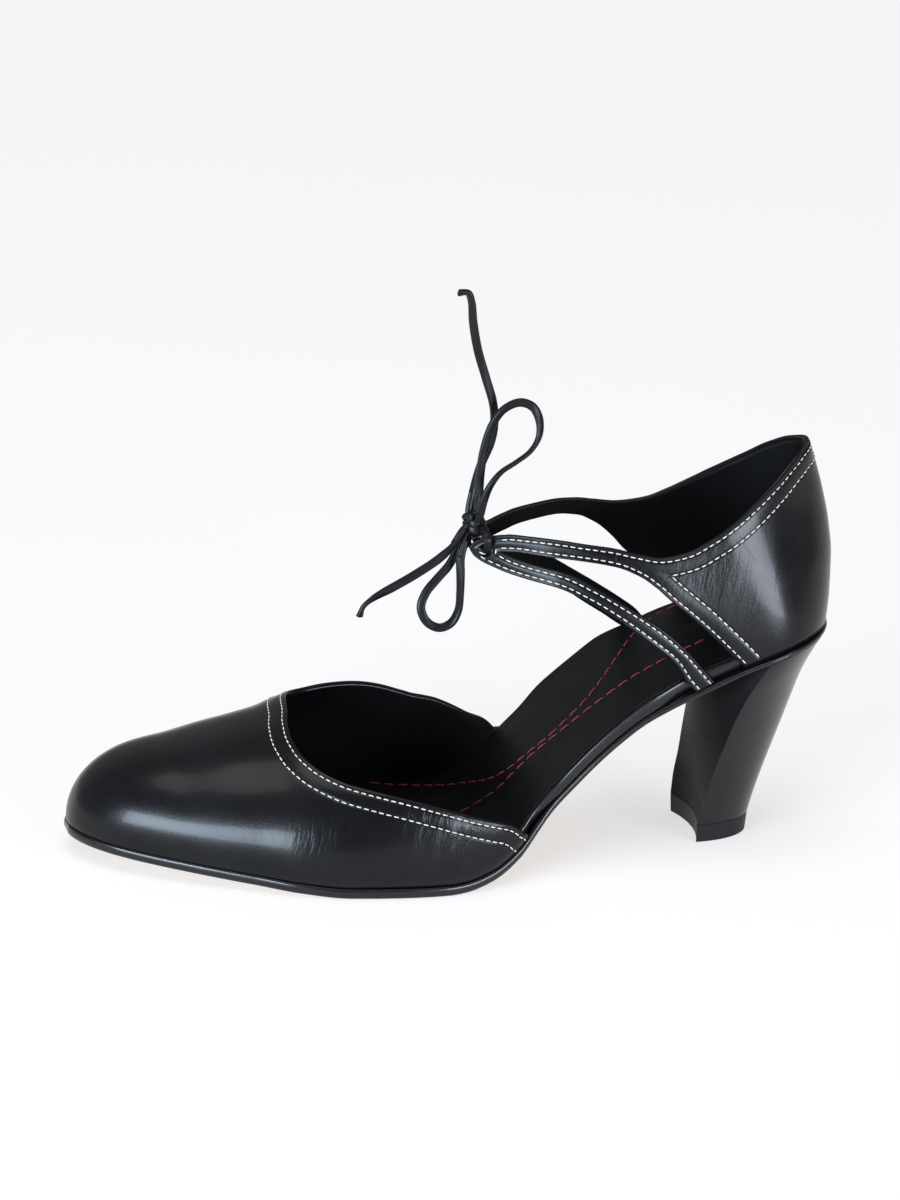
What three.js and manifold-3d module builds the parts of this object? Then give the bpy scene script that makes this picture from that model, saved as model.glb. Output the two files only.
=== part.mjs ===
// A left lace up court shoe with a block heel, standing empty on its sole.
// Millimetres: +X runs from heel to toe, +Y to the wearer's left (the outer side), +Z up, floor at zero.
// The last behind the shoe is worked out by functions from the sizes and the section tables below.
import * as THREE from 'three';
import { mergeVertices } from 'three/addons/utils/BufferGeometryUtils.js';
import Module from 'manifold-3d';

const wasm = await Module();
wasm.setup();

// Driving sizes
const LENGTH = 234; // from the bulge of the heel counter to the toe tip
const BALL_WIDTH = 81; // outsole across the ball
const SEAT_WIDTH = 58.4; // outsole across the heel seat
const HEEL_RISE = 68.5; // floor to the underside of the sole at the back of the seat
const INSTEP_HEIGHT = 66; // ridge of the last over the sole at the waist
const COUNTER_HEIGHT = 57; // seat to the top of the collar at the back seam
const SEAT_SET = 1.2; // back edge of the sole, in from the bulge of the counter
const SEAT_ROUND = 25; // length of the round at the back of the seat
const COLLAR_ROUND = 45; // the same at the top of the collar, which is more pointed
const STRAP_REACH = 116; // bulge of the counter to where the strap tips meet over the instep
const NOSE_LENGTH = 42; // length of the round that closes the toe
const OUTSOLE_THICK = 3;
const INSOLE_THICK = 4.6; // covered edge of the insole at the waist
const WALL = 1.8; // upper leather, lining and stiffening together
const UPPER_BULGE = 0.6; // how far the vamp swells over the edge of the sole
const TOP_PIECE_THICK = 5.6;
const HEEL_TIP_WIDTH = 27.4; // heel across its front corners at the floor
const HEEL_TIP_BACK = 21.2; // back of the heel at the floor, from the bulge of the counter
const HEEL_TIP_FRONT = 41.4; // front corners of the heel at the floor
const LACE_WIDTH = 2.6;
const LACE_THICK = 1.6;
const HOLE_RADIUS = 1.9; // punched hole in each strap tip
const KNOT_RADIUS = 3.4;
const GAP = 0.3; // between pieces that meet

// Finish of each material
const BLACK_LEATHER = { color: 0x14151a, roughness: 0.32, metalness: 0 };
const HEEL_LEATHER = { color: 0x17181d, roughness: 0.38, metalness: 0 };
const SOLE_LEATHER = { color: 0x9c7d62, roughness: 0.6, metalness: 0 };
const LINING_LEATHER = { color: 0x0d0d0f, roughness: 0.5, metalness: 0 };
const TOP_RUBBER = { color: 0x121212, roughness: 0.7, metalness: 0 };
const THONG_LEATHER = { color: 0x101114, roughness: 0.45, metalness: 0 };

// The rows of a table as objects with its column names.
function table(columns, rows) {
  return rows.map((row) => Object.fromEntries(columns.map((name, i) => [name, row[i]])));
}

// Sections of the sole along the foot. along is a share of LENGTH, rise of HEEL_RISE, half and swing
// of half the BALL_WIDTH, outsole of OUTSOLE_THICK and insole of INSOLE_THICK. arch, as a share of
// HEEL_RISE, is how far the sole's inner edge lies over its middle, and its outer edge under it.
const SOLE_ROWS = table(['along', 'rise', 'half', 'swing', 'arch', 'outsole', 'insole'], [
  [0.0, 1.0, 0.715, 0.0, 0.0, 0.47, 0.6],
  [0.026, 0.991, 0.719, 0.0, 0.0, 0.47, 0.6],
  [0.073, 0.961, 0.722, 0.0, 0.0, 0.47, 0.62],
  [0.1, 0.934, 0.722, 0.0, 0.0, 0.47, 0.66],
  [0.145, 0.883, 0.718, 0.0, 0.004, 0.5, 0.76],
  [0.18, 0.836, 0.7, 0.003, 0.014, 0.56, 0.84],
  [0.209, 0.793, 0.678, 0.006, 0.02, 0.64, 0.9],
  [0.244, 0.734, 0.656, 0.01, 0.023, 0.72, 0.96],
  [0.276, 0.672, 0.65, 0.015, 0.022, 0.78, 1.0],
  [0.31, 0.584, 0.655, 0.025, 0.019, 0.84, 1.0],
  [0.339, 0.501, 0.668, 0.035, 0.017, 0.88, 1.0],
  [0.364, 0.423, 0.69, 0.046, 0.013, 0.92, 1.0],
  [0.402, 0.296, 0.736, 0.062, 0.003, 0.95, 0.96],
  [0.423, 0.212, 0.784, 0.073, 0.0, 0.97, 0.9],
  [0.449, 0.117, 0.85, 0.086, 0.0, 1.0, 0.8],
  [0.487, 0.039, 0.92, 0.098, 0.0, 1.0, 0.68],
  [0.525, 0.004, 0.965, 0.1, 0.0, 1.0, 0.6],
  [0.547, 0.0, 0.99, 0.096, 0.0, 1.0, 0.56],
  [0.61, 0.0, 1.02, 0.066, 0.0, 1.0, 0.54],
  [0.675, 0.0, 1.026, 0.022, 0.0, 1.0, 0.54],
  [0.735, 0.013, 1.0, -0.03, 0.0, 1.0, 0.54],
  [0.79, 0.03, 0.943, -0.092, 0.0, 1.0, 0.54],
  [0.9, 0.061, 0.86, -0.208, 0.0, 1.0, 0.54],
  [1.0, 0.083, 0.78, -0.275, 0.0, 1.0, 0.54],
]);

// Sections of the last over the sole. ridge is a share of INSTEP_HEIGHT and lean, the sideways place of
// the ridge, a share of half the BALL_WIDTH.
const LAST_ROWS = table(['along', 'ridge', 'lean'], [
  [0.4, 0.99, -0.14],
  [0.49, 0.92, -0.15],
  [0.57, 0.83, -0.16],
  [0.64, 0.735, -0.17],
  [0.72, 0.615, -0.17],
  [0.75, 0.56, -0.17],
  [0.815, 0.48, -0.18],
  [0.876, 0.408, -0.21],
  [0.93, 0.385, -0.25],
  [1.0, 0.36, -0.28],
]);

// The throat: around is the angle from the ridge, negative on the inner side, and along the share of
// LENGTH where the vamp begins there.
const THROAT_ROWS = [
  [-102, 0.397],
  [-94, 0.405],
  [-86, 0.419],
  [-75, 0.45],
  [-64, 0.488],
  [-54.5, 0.539],
  [-45, 0.59],
  [-36, 0.643],
  [-29, 0.681],
  [-21, 0.702],
  [-10, 0.713],
  [0, 0.719],
  [10, 0.728],
  [20, 0.731],
  [30, 0.727],
  [40, 0.713],
  [50, 0.681],
  [57, 0.642],
  [65, 0.583],
  [71.6, 0.53],
  [77.3, 0.494],
  [84, 0.462],
  [92, 0.443],
  [102, 0.437],
];

// Sections of the quarter's surface along the foot, as shares of half the SEAT_WIDTH: low at the seat
// and high near the top of the collar. along is a share of STRAP_REACH.
const QUARTER_ROWS = table(['along', 'low', 'high'], [
  [0.0, 0.975, 0.62],
  [0.1, 0.977, 0.66],
  [0.22, 0.98, 0.75],
  [0.33, 0.965, 0.77],
  [0.42, 0.955, 0.755],
  [0.52, 0.96, 0.735],
  [0.62, 0.935, 0.69],
  [0.7, 0.86, 0.6],
  [0.78, 0.72, 0.47],
  [0.85, 0.55, 0.35],
  [0.92, 0.36, 0.23],
  [1.0, 0.17, 0.1],
]);

// The back seam: rise is a share of COUNTER_HEIGHT over the seat and set how far in the seam stands from
// the bulge, as a share of SEAT_ROUND.
const BACK_ROWS = table(['along', 'set'], [
  [-0.2, 0.07],
  [0.0, 0.044],
  [0.16, 0.01],
  [0.35, 0.0],
  [0.53, 0.05],
  [0.71, 0.15],
  [0.85, 0.25],
  [0.95, 0.33],
  [1.0, 0.38],
]);

// The counter and an upper strap as one ribbon, a row from its lower to its upper edge at each step from
// the back seam to the slit. Lengths along are shares of STRAP_REACH, rises of COUNTER_HEIGHT over the
// seat. The first SEAT_STEPS rows stand on the sole, so their lower rise is worked out.
const SEAT_STEPS = 4;
const COUNTER_COLUMNS = ['lowerAlong', 'lowerRise', 'upperAlong', 'upperRise'];
const OUTER_COUNTER_ROWS = table(COUNTER_COLUMNS, [
  [0.0, 0, 0.0, 0.985],
  [0.035, 0, 0.1, 0.963],
  [0.1, 0, 0.143, 0.915],
  [0.19, 0, 0.207, 0.825],
  [0.293, 0, 0.276, 0.725],
  [0.364, 0.006, 0.336, 0.638],
  [0.43, 0.131, 0.397, 0.559],
  [0.496, 0.243, 0.466, 0.496],
  [0.539, 0.32, 0.526, 0.479],
  [0.597, 0.396, 0.597, 0.504],
  [0.66, 0.438, 0.66, 0.53],
  [0.737, 0.454, 0.737, 0.542],
  [0.813, 0.459, 0.813, 0.55],
  [0.875, 0.465, 0.875, 0.551],
  [0.925, 0.457, 0.922, 0.543],
]);
const INNER_COUNTER_ROWS = table(COUNTER_COLUMNS, [
  [0.0, 0, 0.0, 0.985],
  [0.035, 0, 0.1, 0.955],
  [0.1, 0, 0.143, 0.9],
  [0.19, 0, 0.207, 0.8],
  [0.293, 0, 0.276, 0.71],
  [0.364, 0.006, 0.336, 0.64],
  [0.43, 0.131, 0.397, 0.584],
  [0.496, 0.243, 0.466, 0.54],
  [0.539, 0.335, 0.526, 0.53],
  [0.597, 0.43, 0.597, 0.55],
  [0.66, 0.485, 0.66, 0.572],
  [0.737, 0.505, 0.737, 0.583],
  [0.813, 0.5, 0.813, 0.58],
  [0.875, 0.48, 0.875, 0.565],
  [0.925, 0.457, 0.922, 0.543],
]);

// The lower strap, from its foot on the sole to the slit: rear and front edges, on each side.
const STRAP_COLUMNS = ['rearAlong', 'rearRise', 'frontAlong', 'frontRise'];
const OUTER_STRAP_ROWS = table(STRAP_COLUMNS, [
  [0.372, 0, 0.422, 0],
  [0.405, -0.135, 0.447, -0.2],
  [0.453, -0.027, 0.488, -0.083],
  [0.516, 0.088, 0.545, 0.014],
  [0.622, 0.233, 0.645, 0.16],
  [0.703, 0.323, 0.722, 0.248],
  [0.778, 0.383, 0.79, 0.303],
  [0.85, 0.408, 0.857, 0.327],
  [0.898, 0.432, 0.905, 0.348],
  [0.925, 0.457, 0.94, 0.372],
]);
const INNER_STRAP_ROWS = table(STRAP_COLUMNS, [
  [0.414, 0, 0.46, 0],
  [0.45, -0.12, 0.497, -0.2],
  [0.49, -0.06, 0.54, -0.14],
  [0.56, 0.035, 0.6, -0.06],
  [0.64, 0.14, 0.67, 0.045],
  [0.71, 0.235, 0.735, 0.155],
  [0.778, 0.31, 0.8, 0.228],
  [0.84, 0.365, 0.86, 0.283],
  [0.895, 0.425, 0.91, 0.33],
  [0.925, 0.457, 0.94, 0.372],
]);

// The strap tip past the slit: front edge, middle line and upper edge.
const TIP_ROWS = table(
  ['frontAlong', 'frontRise', 'middleAlong', 'middleRise', 'upperAlong', 'upperRise'],
  [
    [0.94, 0.372, 0.925, 0.457, 0.922, 0.543],
    [0.965, 0.393, 0.962, 0.458, 0.955, 0.528],
    [0.985, 0.42, 0.99, 0.46, 0.982, 0.502],
    [0.994, 0.445, 0.998, 0.462, 0.994, 0.478],
  ],
);
const HOLE_ALONG = 0.962; // punched hole on the tip's middle line, share of STRAP_REACH
const HOLE_RISE = 0.458; // share of COUNTER_HEIGHT over the seat

// Block heel from its top piece (0) to the seat (1). ridge is the front corner, which divides side and
// breast, breast the middle of the front face, back the middle of the back, half the width at the ridge.
// Each is the share of the way from its place at the floor to its place at the seat.
const HEEL_ROWS = table(['along', 'ridge', 'half', 'back', 'breast'], [
  [0.0, 0.0, 0.0, 0.0, 0.0],
  [0.12, 0.05, 0.07, 0.085, 0.0],
  [0.25, 0.15, 0.15, 0.195, 0.02],
  [0.4, 0.25, 0.27, 0.335, 0.06],
  [0.55, 0.37, 0.42, 0.475, 0.14],
  [0.68, 0.48, 0.57, 0.59, 0.26],
  [0.8, 0.61, 0.73, 0.7, 0.46],
  [0.9, 0.78, 0.87, 0.83, 0.72],
  [1.0, 1.0, 1.0, 1.0, 1.0],
]);
const BREAST_HOLLOW = 2.6; // how deep the front of the heel is hollowed at the floor
const SEAT_BREAST = 43.5; // middle of the heel's front under the seat, from the bulge of the counter

// The lace, as the bow lies: points of each strand, kept as chosen by hand.
const KNOT_CENTRE = [113.2, 0.4, 102.4];
const LACE_ROUTES = {
  lace_end_upper: [
    [114.3, -2.8, 105.6], [113.1, -3.8, 111.5], [110.9, -4.2, 119.7], [108.4, -4.0, 126.4],
    [107.6, -3.6, 132.6], [108.3, -3.2, 138.8], [111.2, -2.8, 147.5], [114.1, -2.4, 156.1],
    [116.1, -2.0, 165.0], [117.0, -1.6, 171.4], [118.3, -1.4, 174.3], [121.2, -1.2, 174.5],
  ],
  lace_loop_upper: [
    [112.6, 0.2, 107.0], [112.4, 0.2, 112.0], [112.3, 0.1, 117.5], [111.4, 0.0, 125.8], [109.2, 0.2, 133.6],
    [106.0, 0.8, 138.4], [101.4, 1.6, 140.6], [97.6, 2.4, 139.3], [95.5, 3.1, 135.2], [95.6, 3.7, 130.2],
    [98.1, 4.1, 126.0], [102.5, 4.3, 122.7], [107.0, 4.4, 119.8], [110.2, 4.4, 115.6],
    [112.0, 4.2, 110.8], [112.8, 3.8, 106.6],
  ],
  lace_end_front: [
    [117.2, 3.0, 101.9], [120.3, 3.4, 97.2], [124.9, 3.7, 93.0], [131.8, 3.6, 88.4], [138.5, 3.3, 84.5],
    [144.4, 3.0, 81.2], [147.5, 2.8, 78.5], [148.6, 2.6, 75.4],
  ],
  lace_loop_lower: [
    [116.4, -0.4, 99.6], [118.0, -0.8, 94.3], [120.4, -0.9, 89.2], [124.1, -0.7, 84.9],
    [127.5, -0.2, 80.8], [129.0, 0.6, 76.4], [127.2, 1.5, 72.2], [123.5, 2.3, 70.4],
    [120.0, 2.8, 71.9], [118.0, 3.1, 76.0], [117.7, 3.3, 81.8], [117.8, 3.2, 87.4],
    [117.9, 2.7, 92.8], [116.4, 1.8, 98.0],
  ],
};
const STEPS_PER_POINT = 1.5; // steps of a strand for each point of its route

const clamp = THREE.MathUtils.clamp;
const lerp = THREE.MathUtils.lerp;
const radians = THREE.MathUtils.degToRad;
const smooth = (value) => THREE.MathUtils.smoothstep(value, 0, 1);
const halfBall = BALL_WIDTH / 2;
const halfSeat = SEAT_WIDTH / 2;

// A smooth curve through one column of a table, with no overshoot between its rows.
function curveOf(rows, column) {
  const at = rows.map((row) => row.along);
  const value = rows.map((row) => row[column]);
  const rate = value.slice(1).map((next, i) => (next - value[i]) / (at[i + 1] - at[i]));
  const slope = value.map((_, i) => {
    const before = rate[Math.max(i - 1, 0)];
    const after = rate[Math.min(i, rate.length - 1)];
    return before * after <= 0 ? 0 : (2 * before * after) / (before + after);
  });
  return (share) => {
    const next = at.findIndex((place) => place > share);
    const i = next < 0 ? at.length - 2 : Math.max(next - 1, 0);
    const span = at[i + 1] - at[i];
    const t = clamp((share - at[i]) / span, 0, 1);
    const ease = t * t * (3 - 2 * t);
    const lead = span * t * (1 - t) * (1 - t) * slope[i];
    const trail = span * t * t * (1 - t) * slope[i + 1];
    return lerp(value[i], value[i + 1], ease) + lead - trail;
  };
}

const sole = Object.fromEntries(Object.keys(SOLE_ROWS[0]).map((name) => [name, curveOf(SOLE_ROWS, name)]));
const ridgeOver = curveOf(LAST_ROWS, 'ridge');
const ridgeLean = curveOf(LAST_ROWS, 'lean');
const quarterLow = curveOf(QUARTER_ROWS, 'low');
const quarterHigh = curveOf(QUARTER_ROWS, 'high');
const backSet = curveOf(BACK_ROWS, 'set');

// Heights of the sole's faces at a distance x from the back. across goes from -1 at the sole's inner edge
// to 1 at its outer edge.
const soleUnder = (x, across = 0) =>
  HEEL_RISE * (sole.rise(x / LENGTH) - across * sole.arch(x / LENGTH));
const soleTop = (x, across = 0) => soleUnder(x, across) + OUTSOLE_THICK * sole.outsole(x / LENGTH);
const insoleUnder = (x, across) => soleTop(x, across) + GAP;
const insoleTop = (x, across) => insoleUnder(x, across) + INSOLE_THICK * sole.insole(x / LENGTH);
const seatLevel = soleTop(SEAT_SET);
const centreLine = (x) => halfBall * sole.swing(x / LENGTH);

// Share of the full width that is left where the outline closes, round the seat and round the toe.
function closing(x, inset) {
  const back = clamp(1 - (x - SEAT_SET - inset) / SEAT_ROUND, 0, 1);
  const front = clamp(x / (LENGTH - inset), 0, 1);
  return Math.sqrt(Math.max((1 - back ** 2) * (1 - front ** 8), 0));
}

// Half of the outsole's width at x, for an outline set in by inset.
const outlineHalf = (x, inset) => (halfBall * sole.half(x / LENGTH) - inset) * closing(x, inset);

// Distances from first to last, closer together at both ends, where the outline is round.
function stations(first, last, count) {
  return Array.from({ length: count + 1 }, (_, i) => {
    const share = (1 - Math.cos((Math.PI * i) / count)) / 2;
    return lerp(first, last, lerp(i / count, share, 0.75));
  });
}

// Triangles of a grid of spots, without those that have no area at a pole.
function gridOf(rows, columns, spotAt) {
  const spots = Array.from({ length: rows + 1 }, (_, i) =>
    Array.from({ length: columns + 1 }, (_, j) => spotAt(i, j)),
  );
  const triangles = [];
  for (let i = 0; i < rows; i += 1) {
    for (let j = 0; j < columns; j += 1) {
      const [a, b, c, d] = [spots[i][j], spots[i + 1][j], spots[i + 1][j + 1], spots[i][j + 1]];
      triangles.push([a, b, c], [a, c, d]);
    }
  }
  return triangles;
}

// A closed geometry from points and triangles, turned so that its faces point out.
function closedGeometry(points, faces) {
  const corner = (i) => points[i];
  let volume = 0;
  for (const [a, b, c] of faces) {
    volume += corner(a).dot(new THREE.Vector3().crossVectors(corner(b), corner(c)));
  }
  const turned = volume < 0 ? faces.map(([a, b, c]) => [a, c, b]) : faces;
  const geometry = new THREE.BufferGeometry().setFromPoints(points);
  geometry.setIndex(turned.flat());
  return geometry;
}

// A closed wall from a sheet of triangles whose spots have an outer and an inner point: two skins, and a
// rim along each free edge of the sheet.
function wallOf(triangles) {
  const spots = [];
  const places = new Map();
  const indexOf = (spot) => {
    const key = spot.outer.toArray().map((value) => Math.round(value * 1000)).join();
    if (!places.has(key)) {
      places.set(key, spots.length);
      spots.push(spot);
    }
    return places.get(key);
  };
  const sheet = triangles
    .map((triangle) => triangle.map(indexOf))
    .filter(([a, b, c]) => a !== b && b !== c && c !== a);
  const edges = new Set(sheet.flatMap(([a, b, c]) => [`${a},${b}`, `${b},${c}`, `${c},${a}`]));
  const under = spots.length;
  const faces = sheet.flatMap(([a, b, c]) => [[a, b, c], [under + a, under + c, under + b]]);
  for (const edge of edges) {
    const [a, b] = edge.split(',').map(Number);
    if (!edges.has(`${b},${a}`)) {
      faces.push([b, a, under + a], [b, under + a, under + b]);
    }
  }
  const points = [...spots.map((spot) => spot.outer), ...spots.map((spot) => spot.inner)];
  return closedGeometry(points, faces);
}

// A flat layer of the bottom of the shoe, between two heights and an outline on each side.
function layer(first, last, count, across, under, over, edge) {
  const places = stations(first, last, count);
  return wallOf(
    gridOf(count, across, (i, j) => {
      const x = places[i];
      const share = (2 * j) / across - 1;
      const y = centreLine(x) + share * edge(x, Math.sign(share));
      return {
        outer: new THREE.Vector3(x, y, under(x, share)),
        inner: new THREE.Vector3(x, y, over(x, share)),
      };
    }),
  );
}

const outsole = () =>
  layer(SEAT_SET, LENGTH, 44, 6, soleUnder, soleTop, (x) => outlineHalf(x, 0));

// The insole is set in where the upper stands beside it, and comes out to the sole's edge at the waist.
const COVERED_INSET = WALL + GAP + 0.9;
const WAIST_INSET = 0.4;
const EDGE_EASE = 7; // length over which the insole's edge comes out
const FOOT_CLEAR = 3; // from a strap's foot to where its edge starts to come out
const WING_COVER = 2; // and from there to the end of the vamp's wing
function insoleInset(x, side) {
  const strap = side > 0 ? OUTER_STRAP_ROWS : INNER_STRAP_ROWS;
  const behind = strap[0].frontAlong * STRAP_REACH + FOOT_CLEAR;
  const wing = side > 0 ? THROAT_ROWS.at(-1) : THROAT_ROWS[0];
  const ahead = wing[1] * LENGTH - WING_COVER;
  const out = smooth((x - behind) / EDGE_EASE) * smooth((ahead - x) / EDGE_EASE);
  return lerp(COVERED_INSET, WAIST_INSET, out);
}

function insole() {
  const edge = (x, side) => {
    const width = halfBall * sole.half(x / LENGTH) - insoleInset(x, side);
    return width * closing(x, COVERED_INSET);
  };
  const first = SEAT_SET + COVERED_INSET;
  return layer(first, LENGTH - COVERED_INSET, 44, 6, insoleUnder, insoleTop, edge);
}

// The vamp: sections of the last between the throat and the toe.
const FEATHER_ANGLE = 12; // how far past the widest place a section goes on, down to the sole
const FEATHER_DEPTH = 4; // height of the widest place over the sole
const VAMP_GAP = GAP + 0.12; // the curved sole bows up between the vamp's own steps
const SIDE_FULLNESS = 0.86; // power of the section's width, lower for fuller sides
const throatCurve = curveOf(THROAT_ROWS.map(([around, start]) => ({ along: around, start })), 'start');

// A point of the last's section at x, at an angle from the ridge, with its skin set in by depth.
function sectionPoint(x, around, depth) {
  const share = x / LENGTH;
  const nose = clamp((x - LENGTH + NOSE_LENGTH) / (NOSE_LENGTH - depth), 0, 1);
  const noseHeight = Math.sqrt(Math.max(1 - nose ** 3, 0));
  const height = (INSTEP_HEIGHT * ridgeOver(share) - FEATHER_DEPTH - depth) * noseHeight;
  const widest = outlineHalf(x, depth) + UPPER_BULGE * closing(x, depth);
  const ridge = halfBall * ridgeLean(share);
  const open = closing(x, depth);
  const middle = lerp(centreLine(x), ridge, open);
  const side = centreLine(x) + Math.sign(around) * widest - middle;
  const angle = radians(Math.abs(around));
  const over = Math.abs(around) <= 90;
  const reach = over ? Math.sin(angle) ** SIDE_FULLNESS : Math.sin(angle);
  const fall = (angle - Math.PI / 2) / radians(FEATHER_ANGLE);
  const lift = over ? height * Math.cos(angle) : -FEATHER_DEPTH * noseHeight * fall;
  const base = soleTop(x) + VAMP_GAP + FEATHER_DEPTH * noseHeight;
  return new THREE.Vector3(x, middle + side * reach, base + lift);
}

function vamp() {
  const along = 26;
  const across = 34;
  const edgeAngle = 90 + FEATHER_ANGLE;
  const spotAt = (i, j) => {
    const around = lerp(-edgeAngle, edgeAngle, j / across);
    const start = LENGTH * throatCurve(around);
    const share = 1 - (1 - i / along) ** 2;
    return {
      outer: sectionPoint(lerp(start, LENGTH, share), around, 0),
      inner: sectionPoint(lerp(start, LENGTH - WALL, share), around, WALL),
    };
  };
  return wallOf(gridOf(along, across, spotAt));
}

// The quarter's surface. A place on it is turn, whose square is the share of the way from the back seam
// to the strap tips, negative on the inner side, and a height z.
const riseShare = (z) => (z - seatLevel) / COUNTER_HEIGHT;
const heightOf = (rise) => seatLevel + COUNTER_HEIGHT * rise;
const backAt = (z) => SEAT_ROUND * backSet(riseShare(z));

function quarterSkin(turn, z) {
  const back = backAt(z);
  const x = lerp(back, STRAP_REACH, turn * turn);
  const share = x / STRAP_REACH;
  const lean = smooth(riseShare(z) / 0.95 + 0.07);
  const half = halfSeat * lerp(quarterLow(share), quarterHigh(share), lean);
  const round = clamp((x - back) / lerp(SEAT_ROUND, COLLAR_ROUND, lean), 0, 1);
  return new THREE.Vector3(x, Math.sign(turn) * half * Math.sqrt(round * (2 - round)), z);
}

// A spot of the quarter's wall: the inner point lies a wall's thickness in, square to the skin.
function quarterSpot({ x: turn, y: z }) {
  const step = 0.002;
  const outer = quarterSkin(turn, z);
  const along = quarterSkin(turn + step, z).sub(quarterSkin(turn - step, z));
  const up = quarterSkin(turn, z + 0.5).sub(quarterSkin(turn, z - 0.5));
  const inward = along.cross(up).normalize().multiplyScalar(WALL);
  return { outer, inner: outer.clone().add(inward) };
}

// The place of a point given by its shares along and up, on the outer (1) or inner (-1) side.
function placeOf(along, rise, side) {
  const z = heightOf(rise);
  const back = backAt(z);
  const share = clamp((along * STRAP_REACH - back) / (STRAP_REACH - back), 0, 1);
  return new THREE.Vector3(side * Math.sqrt(share), z, 0);
}

// The place of a point that stands on the sole.
function footPlace(along, side) {
  const rise = riseShare(soleTop(Math.max(along * STRAP_REACH, SEAT_SET), side) + GAP);
  return placeOf(along, rise, side);
}

// A smooth edge through places, whose parameter counts them, with corners where it breaks.
function edgeOf(places, breaks = []) {
  const stops = [0, ...breaks, places.length - 1];
  const runs = stops.slice(1).map((end, i) => ({
    start: stops[i],
    end,
    curve: new THREE.CatmullRomCurve3(places.slice(stops[i], end + 1), false, 'centripetal'),
  }));
  return (row) => {
    const run = runs.find(({ end }) => row <= end);
    return run.curve.getPoint((row - run.start) / (run.end - run.start));
  };
}

// A ribbon of the quarter between two edges, with stepsPerRow steps to each row of its table.
function ribbon(rowCount, stepsPerRow, across, lower, upper) {
  const steps = rowCount * stepsPerRow;
  return gridOf(steps, across, (i, j) => {
    const row = (i * rowCount) / steps;
    return quarterSpot(lower(row).lerp(upper(row), j / across));
  });
}

const COUNTER_ACROSS = 6;
const STRAP_ACROSS = 3;

// Counter and upper straps run from the inner tip round the back seam to the outer tip.
function counterSheet() {
  const last = OUTER_COUNTER_ROWS.length - 1;
  const lowerOf = (row, i, side) =>
    i <= SEAT_STEPS ? footPlace(row.lowerAlong, side) : placeOf(row.lowerAlong, row.lowerRise, side);
  const upperOf = (row, i, side) => placeOf(row.upperAlong, row.upperRise, side);
  const round = (placeAt) => [
    ...INNER_COUNTER_ROWS.map((row, i) => placeAt(row, i, -1)).slice(1).reverse(),
    ...OUTER_COUNTER_ROWS.map((row, i) => placeAt(row, i, 1)),
  ];
  const lower = edgeOf(round(lowerOf), [last - SEAT_STEPS, last + SEAT_STEPS]);
  return ribbon(2 * last, 2, COUNTER_ACROSS, lower, edgeOf(round(upperOf)));
}

function lowerStrapSheet(rows, side) {
  const front = rows.map((row, i) =>
    i === 0 ? footPlace(row.frontAlong, side) : placeOf(row.frontAlong, row.frontRise, side),
  );
  const rear = rows.map((row, i) =>
    i === 0 ? footPlace(row.rearAlong, side) : placeOf(row.rearAlong, row.rearRise, side),
  );
  const sheet = ribbon(rows.length - 1, 2, STRAP_ACROSS, edgeOf(front), edgeOf(rear));
  return side > 0 ? sheet : sheet.map(([a, b, c]) => [a, c, b]);
}

function tipSheet(side) {
  const columns = STRAP_ACROSS + COUNTER_ACROSS;
  const sheet = gridOf(TIP_ROWS.length - 1, columns, (i, j) => {
    const row = TIP_ROWS[i];
    const middle = placeOf(row.middleAlong, row.middleRise, side);
    if (j <= STRAP_ACROSS) {
      return quarterSpot(placeOf(row.frontAlong, row.frontRise, side).lerp(middle, j / STRAP_ACROSS));
    }
    const share = (j - STRAP_ACROSS) / COUNTER_ACROSS;
    return quarterSpot(middle.lerp(placeOf(row.upperAlong, row.upperRise, side), share));
  });
  return side > 0 ? sheet : sheet.map(([a, b, c]) => [a, c, b]);
}

// The place of the hole through a strap tip, half way into its wall.
function holeCentre(side) {
  const { outer, inner } = quarterSpot(placeOf(HOLE_ALONG, HOLE_RISE, side));
  return outer.lerp(inner, 0.5);
}

function quarter() {
  const sheet = [
    ...counterSheet(),
    ...lowerStrapSheet(OUTER_STRAP_ROWS, 1),
    ...lowerStrapSheet(INNER_STRAP_ROWS, -1),
    ...tipSheet(1),
    ...tipSheet(-1),
  ];
  const punches = [1, -1].map((side) => {
    const punch = new THREE.CylinderGeometry(HOLE_RADIUS, HOLE_RADIUS, 6 * WALL, 16);
    return punch.translate(...holeCentre(side).toArray());
  });
  return cutFrom(wallOf(sheet), punches);
}

// A geometry as a solid, its normals and texture coordinates dropped and its vertices merged.
function solidOf(geometry) {
  const bare = geometry.clone();
  bare.deleteAttribute('normal');
  bare.deleteAttribute('uv');
  const merged = mergeVertices(bare, 1e-4);
  const vertProperties = merged.attributes.position.array;
  const triVerts = new Uint32Array(merged.index.array);
  return new wasm.Manifold(new wasm.Mesh({ numProp: 3, vertProperties, triVerts }));
}

function cutFrom(geometry, cutters) {
  const cut = cutters.reduce((solid, cutter) => solid.subtract(solidOf(cutter)), solidOf(geometry));
  const mesh = cut.getMesh();
  const result = new THREE.BufferGeometry();
  result.setAttribute('position', new THREE.BufferAttribute(mesh.vertProperties, 3));
  result.setIndex(new THREE.BufferAttribute(mesh.triVerts, 1));
  return result;
}

// The heel: rings from the top piece to the seat, each a round back and side and a breast.
const SIDE_POINTS = 9;
const BREAST_POINTS = 4;
const heelTopRidge = SEAT_SET + SEAT_ROUND;

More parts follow.
